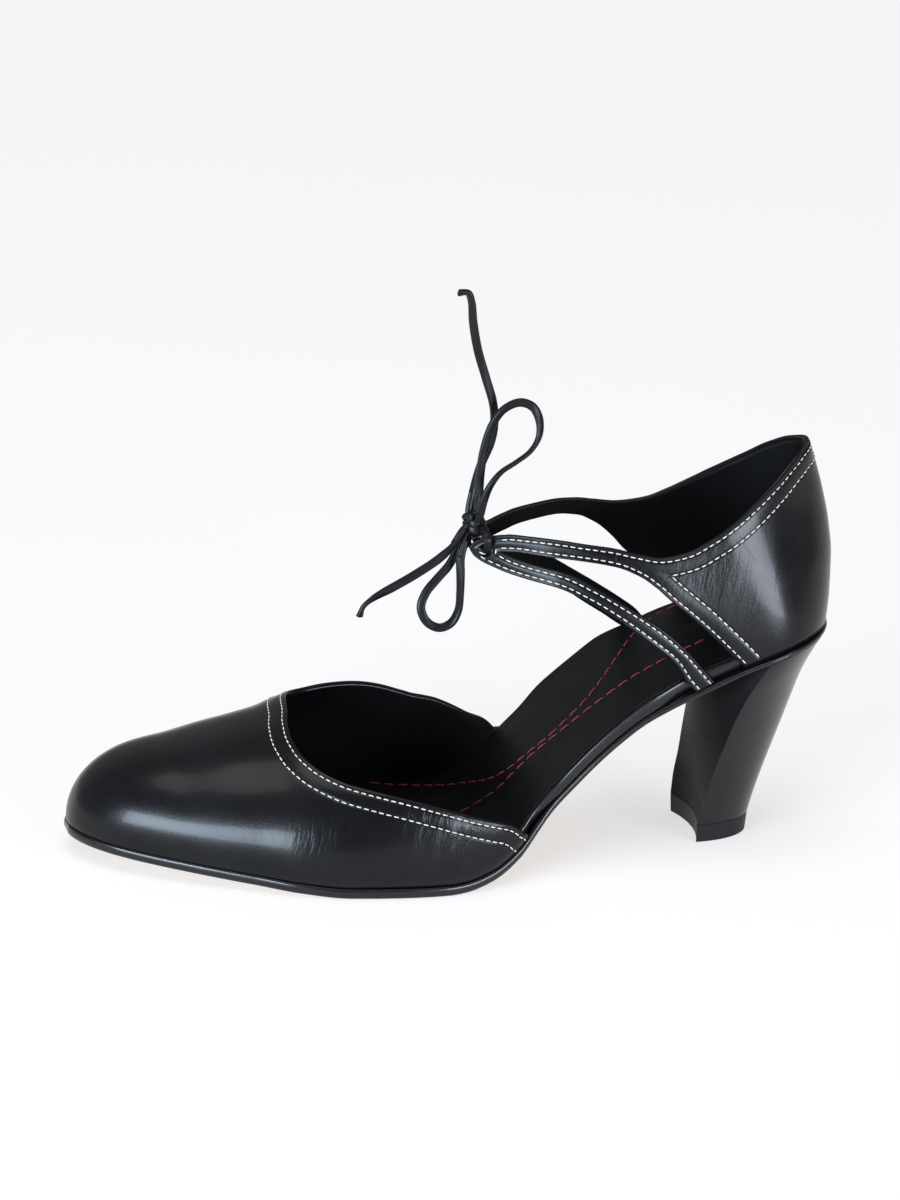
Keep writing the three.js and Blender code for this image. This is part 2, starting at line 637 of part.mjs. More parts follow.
function heelRing(level) {
  const way = (column) => curveOf(HEEL_ROWS, column)(level);
  const ridge = lerp(HEEL_TIP_FRONT, heelTopRidge, way('ridge'));
  const half = lerp(HEEL_TIP_WIDTH / 2, outlineHalf(heelTopRidge, GAP), way('half'));
  const back = lerp(HEEL_TIP_BACK, SEAT_SET + GAP, way('back'));
  const breast = lerp(HEEL_TIP_FRONT - BREAST_HOLLOW, SEAT_BREAST, way('breast'));
  const side = Array.from({ length: SIDE_POINTS + 1 }, (_, i) => {
    const angle = ((Math.PI / 2) * i) / SIDE_POINTS;
    return [ridge - (ridge - back) * Math.cos(angle), half * Math.sin(angle) ** 0.95];
  });
  const front = Array.from({ length: BREAST_POINTS }, (_, i) => {
    const share = 1 - (i + 1) / BREAST_POINTS;
    return [lerp(breast, ridge, share * share), half * share];
  });
  const outer = [...side, ...front];
  const inner = outer.slice(1, -1).reverse().map(([x, y]) => [x, -y]);
  return [...outer, ...inner].map(([x, y]) => {
    const top = soleUnder(x, clamp(y / outlineHalf(x, 0), -1, 1)) - GAP;
    return new THREE.Vector3(x, y, lerp(TOP_PIECE_THICK + GAP, top, level));
  });
}

function heel() {
  const levels = [0, 0.1, 0.2, 0.3, 0.4, 0.5, 0.6, 0.7, 0.78, 0.85, 0.91, 0.96, 1];
  const rings = levels.map(heelRing);
  const count = rings[0].length;
  const points = rings.flat();
  const faces = [];
  for (let i = 0; i < rings.length - 1; i += 1) {
    for (let j = 0; j < count; j += 1) {
      const [a, b] = [i * count + j, i * count + ((j + 1) % count)];
      faces.push([a, b, b + count], [a, b + count, a + count]);
    }
  }
  const flat = rings[0].map(({ x, y }) => new THREE.Vector2(x, y));
  for (const [a, b, c] of THREE.ShapeUtils.triangulateShape(flat, [])) {
    faces.push([a, b, c]);
  }
  const top = (rings.length - 1) * count;
  for (let j = 0; j < count / 2; j += 1) {
    const [a, b] = [j, j + 1];
    const [c, d] = [count - b, (count - a) % count];
    for (const face of [[a, b, c], [a, c, d]]) {
      const [p, q, r] = face;
      if (p !== q && q !== r && r !== p) faces.push([top + p, top + q, top + r]);
    }
  }
  return closedGeometry(points, faces);
}

function topPiece() {
  const outline = heelRing(0).map(({ x, y }) => new THREE.Vector2(x, y));
  return new THREE.ExtrudeGeometry(new THREE.Shape(outline), {
    depth: TOP_PIECE_THICK,
    bevelEnabled: false,
  });
}

// The flat thong's section: a rounded strip.
function thongShape(width, thick) {
  const corners = Array.from({ length: 8 }, (_, i) => {
    const angle = ((i + 0.5) * Math.PI) / 4;
    return new THREE.Vector2((thick / 2) * Math.cos(angle), (width / 2) * Math.sin(angle));
  });
  return new THREE.Shape(corners);
}

function strand(route, width, thick) {
  const points = route.map((point) => new THREE.Vector3(...point));
  return new THREE.ExtrudeGeometry(thongShape(width, thick), {
    steps: Math.round((points.length - 1) * STEPS_PER_POINT),
    bevelEnabled: false,
    extrudePath: new THREE.CatmullRomCurve3(points),
  });
}

// The thong's crossing: from the knot over each tip's upper edge, in through its hole and across inside.
const CROSSING_WIDTH = 2; // the thong drawn narrow through the holes
const CROSSING_THICK = 1.5;
function crossingRoute() {
  const knot = new THREE.Vector3(...KNOT_CENTRE);
  const sideRoute = (side) => {
    const hole = holeCentre(side);
    const outside = hole.y + side * (WALL + CROSSING_THICK);
    const top = heightOf(TIP_ROWS[1].upperRise);
    return [
      [knot.x - 1.2, knot.y + side * (KNOT_RADIUS + 0.6), knot.z + 0.4],
      [hole.x + 0.2, outside + side * 0.4, top + 0.6],
      [hole.x, outside + side * 0.2, (hole.z + top) / 2],
      [hole.x, outside - side * 0.9, hole.z + 0.3],
      [hole.x, hole.y, hole.z],
      [hole.x, hole.y - side * WALL, hole.z - 0.2],
    ];
  };
  return [...sideRoute(1), ...sideRoute(-1).reverse()];
}

function knot() {
  const ball = new THREE.SphereGeometry(1, 12, 8);
  return ball.scale(KNOT_RADIUS, KNOT_RADIUS, KNOT_RADIUS * 1.15).translate(...KNOT_CENTRE);
}

function piece(name, geometry, finish) {
  const mesh = new THREE.Mesh(geometry, new THREE.MeshStandardMaterial(finish));
  mesh.name = name;
  return mesh;
}

const shoe = new THREE.Group();
shoe.add(
  piece('outsole', outsole(), SOLE_LEATHER),
  piece('insole', insole(), LINING_LEATHER),
  piece('vamp', vamp(), BLACK_LEATHER),
  piece('quarter', quarter(), BLACK_LEATHER),
  piece('heel', heel(), HEEL_LEATHER),
  piece('heel_top_piece', topPiece(), TOP_RUBBER),
);
const body = new THREE.Box3().setFromObject(shoe);
shoe.add(
  piece('lace_crossing', strand(crossingRoute(), CROSSING_WIDTH, CROSSING_THICK), THONG_LEATHER),
  piece('lace_knot', knot(), THONG_LEATHER),
);
for (const [name, route] of Object.entries(LACE_ROUTES)) {
  shoe.add(piece(name, strand(route, LACE_WIDTH, LACE_THICK), THONG_LEATHER));
}

// The origin is under the middle of the shoe, without its free lace.
const centre = body.getCenter(new THREE.Vector3());
for (const mesh of shoe.children) {
  mesh.position.set(-centre.x, -centre.y, -body.min.z);
}

export default shoe;
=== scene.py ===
# Looks of a left lace up court shoe with a block heel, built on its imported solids.
# Shapes are worked out in millimetres from the bulge of the heel counter, as in the part's source: x runs
# from heel to toe, y to the wearer's left, which is the outer side, z up from the floor. A mesh gets them
# in metres from the part's own origin.
import math

import bmesh
import bpy
import numpy as np
from mathutils import Matrix, Vector


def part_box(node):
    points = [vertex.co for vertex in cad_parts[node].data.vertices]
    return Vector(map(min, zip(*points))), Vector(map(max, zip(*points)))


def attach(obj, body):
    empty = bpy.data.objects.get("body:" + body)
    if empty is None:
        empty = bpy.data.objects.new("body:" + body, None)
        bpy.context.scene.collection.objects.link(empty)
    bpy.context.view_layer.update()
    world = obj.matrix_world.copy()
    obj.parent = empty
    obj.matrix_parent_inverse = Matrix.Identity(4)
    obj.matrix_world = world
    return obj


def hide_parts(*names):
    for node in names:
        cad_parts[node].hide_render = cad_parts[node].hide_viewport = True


bl_info = {
    "name": "Lace up court shoe",
    "version": (1, 0, 0),
    "blender": (4, 5, 0),
    "location": "3D View > Sidebar > Court shoe",
    "description": "Makes a lace up court shoe with a block heel from its sizes and colours",
    "category": "Object",
}

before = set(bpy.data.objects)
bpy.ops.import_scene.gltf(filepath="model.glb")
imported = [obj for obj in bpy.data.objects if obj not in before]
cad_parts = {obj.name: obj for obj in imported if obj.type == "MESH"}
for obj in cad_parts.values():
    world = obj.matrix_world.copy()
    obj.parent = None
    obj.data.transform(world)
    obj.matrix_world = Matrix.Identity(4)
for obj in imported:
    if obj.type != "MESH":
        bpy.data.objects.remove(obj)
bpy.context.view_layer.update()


def table(names, rows):
    """The columns of a table by name."""
    return dict(zip(names.split(), np.array(rows).T))


# Sections of the sole along the foot, as in the part's source: along is a share of the length, rise of the
# heel's rise, half and swing of half the ball's width, outsole and insole of their thickness. arch, as a
# share of the heel's rise, is how far the inner edge lies over the middle, and the outer edge under it.
SOLE = table("along rise half swing arch outsole insole", [
    (0.0, 1.0, 0.715, 0.0, 0.0, 0.47, 0.6),
    (0.026, 0.991, 0.719, 0.0, 0.0, 0.47, 0.6),
    (0.073, 0.961, 0.722, 0.0, 0.0, 0.47, 0.62),
    (0.1, 0.934, 0.722, 0.0, 0.0, 0.47, 0.66),
    (0.145, 0.883, 0.718, 0.0, 0.004, 0.5, 0.76),
    (0.18, 0.836, 0.7, 0.003, 0.014, 0.56, 0.84),
    (0.209, 0.793, 0.678, 0.006, 0.02, 0.64, 0.9),
    (0.244, 0.734, 0.656, 0.01, 0.023, 0.72, 0.96),
    (0.276, 0.672, 0.65, 0.015, 0.022, 0.78, 1.0),
    (0.31, 0.584, 0.655, 0.025, 0.019, 0.84, 1.0),
    (0.339, 0.501, 0.668, 0.035, 0.017, 0.88, 1.0),
    (0.364, 0.423, 0.69, 0.046, 0.013, 0.92, 1.0),
    (0.402, 0.296, 0.736, 0.062, 0.003, 0.95, 0.96),
    (0.423, 0.212, 0.784, 0.073, 0.0, 0.97, 0.9),
    (0.449, 0.117, 0.85, 0.086, 0.0, 1.0, 0.8),
    (0.487, 0.039, 0.92, 0.098, 0.0, 1.0, 0.68),
    (0.525, 0.004, 0.965, 0.1, 0.0, 1.0, 0.6),
    (0.547, 0.0, 0.99, 0.096, 0.0, 1.0, 0.56),
    (0.61, 0.0, 1.02, 0.066, 0.0, 1.0, 0.54),
    (0.675, 0.0, 1.026, 0.022, 0.0, 1.0, 0.54),
    (0.735, 0.013, 1.0, -0.03, 0.0, 1.0, 0.54),
    (0.79, 0.03, 0.943, -0.092, 0.0, 1.0, 0.54),
    (0.9, 0.061, 0.86, -0.208, 0.0, 1.0, 0.54),
    (1.0, 0.083, 0.78, -0.275, 0.0, 1.0, 0.54),
])

# Sections of the last over the sole: ridge as a share of the instep's height, and lean, the ridge's
# sideways place, of half the ball's width.
LAST = table("along ridge lean", [
    (0.4, 0.99, -0.14),
    (0.49, 0.92, -0.15),
    (0.57, 0.83, -0.16),
    (0.64, 0.735, -0.17),
    (0.72, 0.615, -0.17),
    (0.75, 0.56, -0.17),
    (0.815, 0.48, -0.18),
    (0.876, 0.408, -0.21),
    (0.93, 0.385, -0.25),
    (1.0, 0.36, -0.28),
])

# The throat: around is the angle from the ridge, negative on the inner side, start the share of the
# length where the vamp begins there.
THROAT = table("around start", [
    (-102, 0.397), (-94, 0.405), (-86, 0.419), (-75, 0.45), (-64, 0.488), (-54.5, 0.539), (-45, 0.59),
    (-36, 0.643), (-29, 0.681), (-21, 0.702), (-10, 0.713), (0, 0.719), (10, 0.728), (20, 0.731),
    (30, 0.727), (40, 0.713), (50, 0.681), (57, 0.642), (65, 0.583), (71.6, 0.53), (77.3, 0.494),
    (84, 0.462), (92, 0.443), (102, 0.437),
])

# The quarter's surface along the foot, as shares of half the seat's width: low at the seat and high near
# the top of the collar. along is a share of the straps' reach.
QUARTER = table("along low high", [
    (0.0, 0.975, 0.62), (0.1, 0.977, 0.66), (0.22, 0.98, 0.75), (0.33, 0.965, 0.77), (0.42, 0.955, 0.755),
    (0.52, 0.96, 0.735), (0.62, 0.935, 0.69), (0.7, 0.86, 0.6), (0.78, 0.72, 0.47), (0.85, 0.55, 0.35),
    (0.92, 0.36, 0.23), (1.0, 0.17, 0.1),
])

# The back seam: rise is a share of the counter's height over the seat, set how far in the seam stands from
# the bulge, of the seat's round.
BACK = table("rise set", [
    (-0.2, 0.07), (0.0, 0.044), (0.16, 0.01), (0.35, 0.0), (0.53, 0.05), (0.71, 0.15), (0.85, 0.25),
    (0.95, 0.33), (1.0, 0.38),
])

# The counter and the upper strap, a row from the lower to the upper edge at each step from the back seam
# to the slit: shares of the straps' reach along, of the counter's height up. The first rows up to
# SEAT_STEPS stand on the sole.
SEAT_STEPS = 4
OUTER_COUNTER = np.array([
    (0.0, 0, 0.0, 0.985), (0.035, 0, 0.1, 0.963), (0.1, 0, 0.143, 0.915), (0.19, 0, 0.207, 0.825),
    (0.293, 0, 0.276, 0.725), (0.364, 0.006, 0.336, 0.638), (0.43, 0.131, 0.397, 0.559),
    (0.496, 0.243, 0.466, 0.496), (0.539, 0.32, 0.526, 0.479), (0.597, 0.396, 0.597, 0.504),
    (0.66, 0.438, 0.66, 0.53), (0.737, 0.454, 0.737, 0.542), (0.813, 0.459, 0.813, 0.55),
    (0.875, 0.465, 0.875, 0.551), (0.925, 0.457, 0.922, 0.543),
])
INNER_COUNTER = np.array([
    (0.0, 0, 0.0, 0.985), (0.035, 0, 0.1, 0.955), (0.1, 0, 0.143, 0.9), (0.19, 0, 0.207, 0.8),
    (0.293, 0, 0.276, 0.71), (0.364, 0.006, 0.336, 0.64), (0.43, 0.131, 0.397, 0.584),
    (0.496, 0.243, 0.466, 0.54), (0.539, 0.335, 0.526, 0.53), (0.597, 0.43, 0.597, 0.55),
    (0.66, 0.485, 0.66, 0.572), (0.737, 0.505, 0.737, 0.583), (0.813, 0.5, 0.813, 0.58),
    (0.875, 0.48, 0.875, 0.565), (0.925, 0.457, 0.922, 0.543),
])

# The lower strap from its foot on the sole to the slit: rear along and rise, front along and rise.
OUTER_STRAP = np.array([
    (0.372, 0, 0.422, 0), (0.405, -0.135, 0.447, -0.2), (0.453, -0.027, 0.488, -0.083),
    (0.516, 0.088, 0.545, 0.014), (0.622, 0.233, 0.645, 0.16), (0.703, 0.323, 0.722, 0.248),
    (0.778, 0.383, 0.79, 0.303), (0.85, 0.408, 0.857, 0.327), (0.898, 0.432, 0.905, 0.348),
    (0.925, 0.457, 0.94, 0.372),
])
INNER_STRAP = np.array([
    (0.414, 0, 0.46, 0), (0.45, -0.12, 0.497, -0.2), (0.49, -0.06, 0.54, -0.14), (0.56, 0.035, 0.6, -0.06),
    (0.64, 0.14, 0.67, 0.045), (0.71, 0.235, 0.735, 0.155), (0.778, 0.31, 0.8, 0.228),
    (0.84, 0.365, 0.86, 0.283), (0.895, 0.425, 0.91, 0.33), (0.925, 0.457, 0.94, 0.372),
])

# The strap tip past the slit: front edge, middle line and upper edge, along and rise of each.
TIP = np.array([
    (0.94, 0.372, 0.925, 0.457, 0.922, 0.543),
    (0.965, 0.393, 0.962, 0.458, 0.955, 0.528),
    (0.985, 0.42, 0.99, 0.46, 0.982, 0.502),
    (0.994, 0.445, 0.998, 0.462, 0.994, 0.478),
])
HOLE_ALONG = 0.962
HOLE_RISE = 0.458

# Block heel from its top piece (0) to the seat (1): how far ridge, half width, back and breast have come
# from their place at the floor to their place at the seat.
HEEL = table("along ridge half back breast", [
    (0.0, 0.0, 0.0, 0.0, 0.0), (0.12, 0.05, 0.07, 0.085, 0.0), (0.25, 0.15, 0.15, 0.195, 0.02),
    (0.4, 0.25, 0.27, 0.335, 0.06), (0.55, 0.37, 0.42, 0.475, 0.14), (0.68, 0.48, 0.57, 0.59, 0.26),
    (0.8, 0.61, 0.73, 0.7, 0.46), (0.9, 0.78, 0.87, 0.83, 0.72), (1.0, 1.0, 1.0, 1.0, 1.0),
])


def curve(at, value):
    """A cubic through the rows of a table. Its slope at a row is the harmonic mean of the rates on both
    sides, or nothing where they differ in sign, so it never overshoots."""
    rate = np.diff(value) / np.diff(at)
    before = np.concatenate([rate[:1], rate])
    after = np.concatenate([rate, rate[-1:]])
    same = before * after > 0
    slope = np.where(same, 2 * before * after / np.where(same, before + after, 1), 0)

    def read(share):
        i = np.clip(np.searchsorted(at, share, side="right") - 1, 0, len(at) - 2)
        span = at[i + 1] - at[i]
        t = np.clip((share - at[i]) / span, 0, 1)
        ease = t * t * (3 - 2 * t)
        lead = span * t * (1 - t) ** 2 * slope[i]
        trail = span * t * t * (1 - t) * slope[i + 1]
        return value[i] + (value[i + 1] - value[i]) * ease + lead - trail

    return read


def lerp(a, b, t):
    return a + (b - a) * t


def together(*parts):
    """Points from their coordinates, each of them a number, a row or a grid."""
    return np.stack(np.broadcast_arrays(*parts), -1)


def unit(vectors, least=0.0):
    """Vectors brought to a length of one. least is added to each length, for those that may vanish."""
    return vectors / (np.linalg.norm(vectors, axis=-1, keepdims=True) + least)


def smooth(value):
    t = np.clip(value, 0, 1)
    return t * t * (3 - 2 * t)


def spline(points, places):
    """Centripetal spline through points, read at places that count them: on each stretch the cubic whose
    end slopes come from the distances between four neighbours to the power of a half."""
    points = np.asarray(points, float)
    all_points = np.vstack([2 * points[:1] - points[1:2], points, 2 * points[-1:] - points[-2:-1]])
    i = np.clip(np.floor(places).astype(int), 0, len(points) - 2)
    t = (np.asarray(places) - i)[:, None]
    p0, p1, p2, p3 = (all_points[i + k] for k in range(4))
    step = [np.linalg.norm(b - a, axis=1)[:, None] ** 0.5 for a, b in ((p0, p1), (p1, p2), (p2, p3))]
    middle = np.where(step[1] < 1e-4, 1.0, step[1])
    first = np.where(step[0] < 1e-4, middle, step[0])
    last = np.where(step[2] < 1e-4, middle, step[2])
    start = ((p1 - p0) / first - (p2 - p0) / (first + middle) + (p2 - p1) / middle) * middle
    end = ((p2 - p1) / middle - (p3 - p1) / (middle + last) + (p3 - p2) / last) * middle
    square = -3 * p1 + 3 * p2 - 2 * start - end
    cube = 2 * p1 - 2 * p2 + start + end
    return p1 + t * (start + t * (square + t * cube))


class Shape:
    """The last and the pieces on it, in millimetres from the bulge of the counter, as in the source."""

    def __init__(self, size):
        self.size = size
        self.covered = size["wall"] + size["gap"] + COVERED
        self.half_ball = size["ball_width"] / 2
        self.half_seat = size["seat_width"] / 2
        self.sole = {name: curve(SOLE["along"], column) for name, column in SOLE.items() if name != "along"}
        self.ridge = curve(LAST["along"], LAST["ridge"])
        self.lean = curve(LAST["along"], LAST["lean"])
        self.throat = curve(THROAT["around"], THROAT["start"])
        self.low = curve(QUARTER["along"], QUARTER["low"])
        self.high = curve(QUARTER["along"], QUARTER["high"])
        self.back = curve(BACK["rise"], BACK["set"])
        self.seat_level = float(self.sole_top(np.array(size["seat_set"])))

    def under(self, x, across=0.0):
        share = x / self.size["length"]
        return self.size["heel_rise"] * (self.sole["rise"](share) - across * self.sole["arch"](share))

    def sole_top(self, x, across=0.0):
        thick = self.size["outsole_thick"] * self.sole["outsole"](x / self.size["length"])
        return self.under(x, across) + thick

    def insole_top(self, x, across=0.0):
        thick = self.size["insole_thick"] * self.sole["insole"](x / self.size["length"])
        return self.sole_top(x, across) + self.size["gap"] + thick

    def centre(self, x):
        return self.half_ball * self.sole["swing"](x / self.size["length"])

    def closing(self, x, inset=0.0):
        """Share of the width left where the outline closes: a circle's quarter round the seat, an eighth
        power round the toe."""
        back = np.clip(1 - (x - self.size["seat_set"] - inset) / self.size["seat_round"], 0, 1)
        front = np.clip(x / (self.size["length"] - inset), 0, 1)
        return np.sqrt(np.maximum((1 - back**2) * (1 - front**8), 0))

    def outline(self, x, inset=0.0):
        half = self.half_ball * self.sole["half"](x / self.size["length"]) - inset
        return half * self.closing(x, inset)

    def section(self, x, around, depth=0.0):
        """The last's section at x, at an angle from the ridge: a sine to a power across and a cosine up,
        then down to the sole past the widest place, closed at the toe by a round nose."""
        size = self.size
        share = x / size["length"]
        nose = np.clip((x - size["length"] + size["nose_length"]) / (size["nose_length"] - depth), 0, 1)
        shut = np.sqrt(np.maximum(1 - nose**3, 0))
        height = (size["instep_height"] * self.ridge(share) - size["feather_depth"] - depth) * shut
        opened = self.closing(x, depth)
        widest = self.outline(x, depth) + size["upper_bulge"] * opened
        middle = lerp(self.centre(x), self.half_ball * self.lean(share), opened)
        side = self.centre(x) + np.sign(around) * widest - middle
        angle = np.radians(np.abs(around))
        over = np.abs(around) <= 90
        sine = np.maximum(np.sin(angle), 0)
        reach = np.where(over, sine ** size["side_fullness"], sine)
        fall = (angle - math.pi / 2) / math.radians(size["feather_angle"])
        lift = np.where(over, height * np.cos(angle), -size["feather_depth"] * shut * fall)
        base = self.sole_top(x) + size["vamp_gap"] + size["feather_depth"] * shut
        return together(x, middle + side * reach, base + lift)

    def height_of(self, rise):
        return self.seat_level + self.size["counter_height"] * rise

    def rise_of(self, z):
        return (z - self.seat_level) / self.size["counter_height"]

    def back_at(self, z):
        return self.size["seat_round"] * self.back(self.rise_of(z))

    def skin(self, place):
        """The quarter's surface at a place (turn, z): turn squared is the share of the way from the back
        seam to the strap tips, and the half width closes to the seam in a circle's quarter."""
        turn, z = place[..., 0], place[..., 1]
        back = self.back_at(z)
        x = lerp(back, self.size["strap_reach"], turn * turn)
        share = x / self.size["strap_reach"]
        lean = smooth(self.rise_of(z) / 0.95 + 0.07)
        half = self.half_seat * lerp(self.low(share), self.high(share), lean)
        length = lerp(self.size["seat_round"], self.size["collar_round"], lean)
        opened = np.clip((x - back) / length, 0, 1)
        y = np.sign(turn) * half * np.sqrt(opened * (2 - opened))
        return np.stack([x, y, z], -1)

    def skin_normal(self, place):
        along = self.skin(place + (0.002, 0)) - self.skin(place - (0.002, 0))
        up = self.skin(place + (0, 0.5)) - self.skin(place - (0, 0.5))
        return unit(np.cross(up, along))

    def place(self, along, rise, side):
        """The place (turn, z) of a point given by its shares along and up."""
        z = self.height_of(rise)
        back = self.back_at(z)
        reach = self.size["strap_reach"]
        share = np.clip((along * reach - back) / (reach - back), 0, 1)
        return together(side * np.sqrt(share), z)

    def foot_place(self, along, side):
        x = np.maximum(along * self.size["strap_reach"], self.size["seat_set"])
        return self.place(along, self.rise_of(self.sole_top(x, side) + self.size["gap"]), side)


# The knot's centre in the source, which tells where the part's origin lies.
KNOT_CENTRE = np.array([113.2, 0.4, 102.4])
KNOT_HIDES = 9.3  # stitches nearer its middle lie under the knot
KNOT_BOX = np.array([list(corner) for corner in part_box("lace_knot")]) * 1000
SHIFT = KNOT_BOX.mean(0) - KNOT_CENTRE

# The strands of the bow, point by point, as in the source.
LACE_ROUTES = {
    "lace_end_upper": [
        (114.3, -2.8, 105.6), (113.1, -3.8, 111.5), (110.9, -4.2, 119.7), (108.4, -4.0, 126.4),
        (107.6, -3.6, 132.6), (108.3, -3.2, 138.8), (111.2, -2.8, 147.5), (114.1, -2.4, 156.1),
        (116.1, -2.0, 165.0), (117.0, -1.6, 171.4), (118.3, -1.4, 174.3), (121.2, -1.2, 174.5),
    ],
    "lace_loop_upper": [
        (112.6, 0.2, 107.0), (112.4, 0.2, 112.0), (112.3, 0.1, 117.5), (111.4, 0.0, 125.8),
        (109.2, 0.2, 133.6), (106.0, 0.8, 138.4), (101.4, 1.6, 140.6), (97.6, 2.4, 139.3),
        (95.5, 3.1, 135.2), (95.6, 3.7, 130.2), (98.1, 4.1, 126.0), (102.5, 4.3, 122.7),
        (107.0, 4.4, 119.8), (110.2, 4.4, 115.6), (112.0, 4.2, 110.8), (112.8, 3.8, 106.6),
    ],
    "lace_end_front": [
        (117.2, 3.0, 101.9), (120.3, 3.4, 97.2), (124.9, 3.7, 93.0), (131.8, 3.6, 88.4),
        (138.5, 3.3, 84.5), (144.4, 3.0, 81.2), (147.5, 2.8, 78.5), (148.6, 2.6, 75.4),
    ],
    "lace_loop_lower": [
        (116.4, -0.4, 99.6), (118.0, -0.8, 94.3), (120.4, -0.9, 89.2), (124.1, -0.7, 84.9),
        (127.5, -0.2, 80.8), (129.0, 0.6, 76.4), (127.2, 1.5, 72.2), (123.5, 2.3, 70.4),
        (120.0, 2.8, 71.9), (118.0, 3.1, 76.0), (117.7, 3.3, 81.8), (117.8, 3.2, 87.4),
        (117.9, 2.7, 92.8), (116.4, 1.8, 98.0),
    ],
}

# The strands where they leave the knot: a place inside it, the strand, and how many of its points are
# covered, from its end where the count is negative.
KNOT_LEADS = (
    ((114.2, -1.4, 102.6), "lace_end_upper", 2),
    ((113.2, 0.2, 102.8), "lace_loop_upper", 2),
    ((113.4, 2.4, 102.4), "lace_loop_upper", -2),
    ((114.6, 1.6, 102.8), "lace_end_front", 2),
    ((114.4, -0.4, 101.6), "lace_loop_lower", 2),
    ((114.6, 1.0, 101.4), "lace_loop_lower", -2),
)

# Dark red stitching on the sock lining: two rows that meet at the waist, x and y.
SOCK_ROWS = (
    [(40.0, -22.5), (48.0, -20.0), (56.5, -14.4), (66.8, -3.6), (75.8, 3.0), (82.6, 5.0), (89.8, 5.0),
     (99.4, 0.0), (110.1, -16.0), (121.8, -28.5), (134.0, -34.5)],
    [(40.0, 7.0), (52.3, 8.4), (64.7, 9.4), (75.5, 9.0), (86.8, 7.8), (100.5, 4.6), (112.0, 2.0),
     (122.0, 4.5), (132.0, 10.0), (142.0, 17.0)],
)

# Soft creases of the vamp where the foot bends it: x, angle from the ridge, half length as an angle,
# slant as x per 10 degrees, depth, and half width.
CREASES = (
    (121.0, 82.0, 11.0, 1.6, 0.22, 1.6),
    (125.5, 80.0, 14.0, 1.9, 0.3, 1.5),
    (130.5, 79.0, 10.0, 1.7, 0.2, 1.4),
    (136.0, 74.0, 9.0, 2.2, 0.16, 1.8),
    (119.0, -74.0, 12.0, -1.6, 0.3, 1.7),
    (125.0, -72.0, 15.0, -2.0, 0.34, 1.6),
    (131.0, -68.0, 12.0, -2.2, 0.24, 1.6),
    (139.0, -62.0, 10.0, -2.4, 0.18, 2.0),
    (163.0, 30.0, 26.0, 0.6, 0.12, 3.0),
    (174.0, -12.0, 30.0, 0.4, 0.1, 3.4),
)

# What a point carries: millimetres from the nearest sewn edge, how far it shows fine creases, and
# millimetres past the place where one strap piece laps over another.
CARRIED = ("seam", "flex", "lap")
PLAIN = (60.0, 0.0, -60.0)

# Where fine creases show: on the vamp x, angle from the ridge, reach along x and reach as an angle; on the
# counter the place along and up and the reach in millimetres.
VAMP_FLEX = ((124.0, 80.0, 9.0, 15.0, 1.0), (139.0, 66.0, 9.0, 13.0, 0.7), (168.0, 72.0, 9.0, 14.0, 0.45),
             (124.0, -74.0, 10.0, 15.0, 1.0), (142.0, -60.0, 10.0, 14.0, 0.7))
COUNTER_FLEX = ((0.42, 0.36, 13.0, 0.4), (0.31, 0.28, 12.0, 0.25))
# Where the front piece of each upper strap laps over the counter, as shares of the straps' reach.
LAPS = {1: 0.647, -1: 0.655}
PAST_LAP = 30.0  # far past the lap, for the strap tips

CAMERA_PLACE = (529.3, 1446.8, 601.6)
CAMERA_AIM = (122.1, 8.0, 81.2)
CAMERA_UP = (-0.0347, -0.2936, 0.9553)
CAMERA_LENS = 158.0
FLOOR_HALF = 30.0  # metres from the middle to a side
FLOOR_LEVEL = -0.0002  # metres

# Steps of the surfaces: from row to row of a strap's or a tip's table, across a strap and the counter,
# along and across the foot's plan, from point to point of a strand, round a thread and a punched hole, and
# up the heel.
ROW_STEPS = 9
TIP_STEPS = 6
STRAP_ACROSS = 12
COUNTER_ACROSS = 26
PLAN_ALONG = 150
PLAN_ACROSS = 30
STRAND_STEPS = 8
THREAD_SIDES = 6
HOLE_SIDES = 32
HEEL_LEVELS = 56

# Lengths in millimetres that stand in no table.
BEND_SLACK = 0.06  # a row beside a bent edge may come nearer to it by this
ROW_SLACK = 0.05  # a row may come nearer to the edge that it ends at by this
KNOT_RADIUS = 2.95
KNOT_HALF = 4.6  # half the height of the knot's core
CROSSING_WIDTH = 2.5
CROSSING_THICK = 1.35
CROSSING_OFF = 1.5  # from a tip's outside to the middle of the thong that runs over it
PUNCH_HALF = 2.2  # how far a punch reaches to both sides of the wall's middle
OUTSOLE_INSET = 0.3
COVERED = 0.9  # how far the insole's edge lies behind the wall and its gap
BAND_INSET = 0.4  # how far it lies behind the sole's edge where it is bare
SOCK_INSET = 0.6
SOCK_THICK = 0.75
SOCK_GAP = 0.02
BEVEL = 0.25
TIP_RISE = 0.15  # how far the top piece reaches up to the heel

WORN = 0.965  # the top piece's tread, as a share of its upper face
SHARP = 34  # degrees past which an edge of the heel isn't smooth
BREAST_DULL = 0.36  # added to the roughness on the heel's breast


def numbers(rows, columns):
    """The number of each spot of a grid, row by row."""
    return np.arange(rows * columns).reshape(rows, columns)


def grid_faces(spot):
    """Quads between the spots of a grid, from their numbers."""
    return np.stack([spot[:-1, :-1], spot[1:, :-1], spot[1:, 1:], spot[:-1, 1:]], -1).reshape(-1, 4)


def ring_faces(spot):
    """Quads between rings of spots, from ring to ring and round each."""
    ahead = np.roll(spot, -1, 1)
    return np.stack([spot[:-1], spot[1:], ahead[1:], ahead[:-1]], -1).reshape(-1, 4)


def closed_tube(rings):
    """A closed solid from rings of the same count, with one face over each end."""
    spot = numbers(*rings.shape[:2])
    faces = ring_faces(spot).tolist() + [spot[0].tolist(), spot[-1][::-1].tolist()]
    return rings.reshape(-1, 3), faces


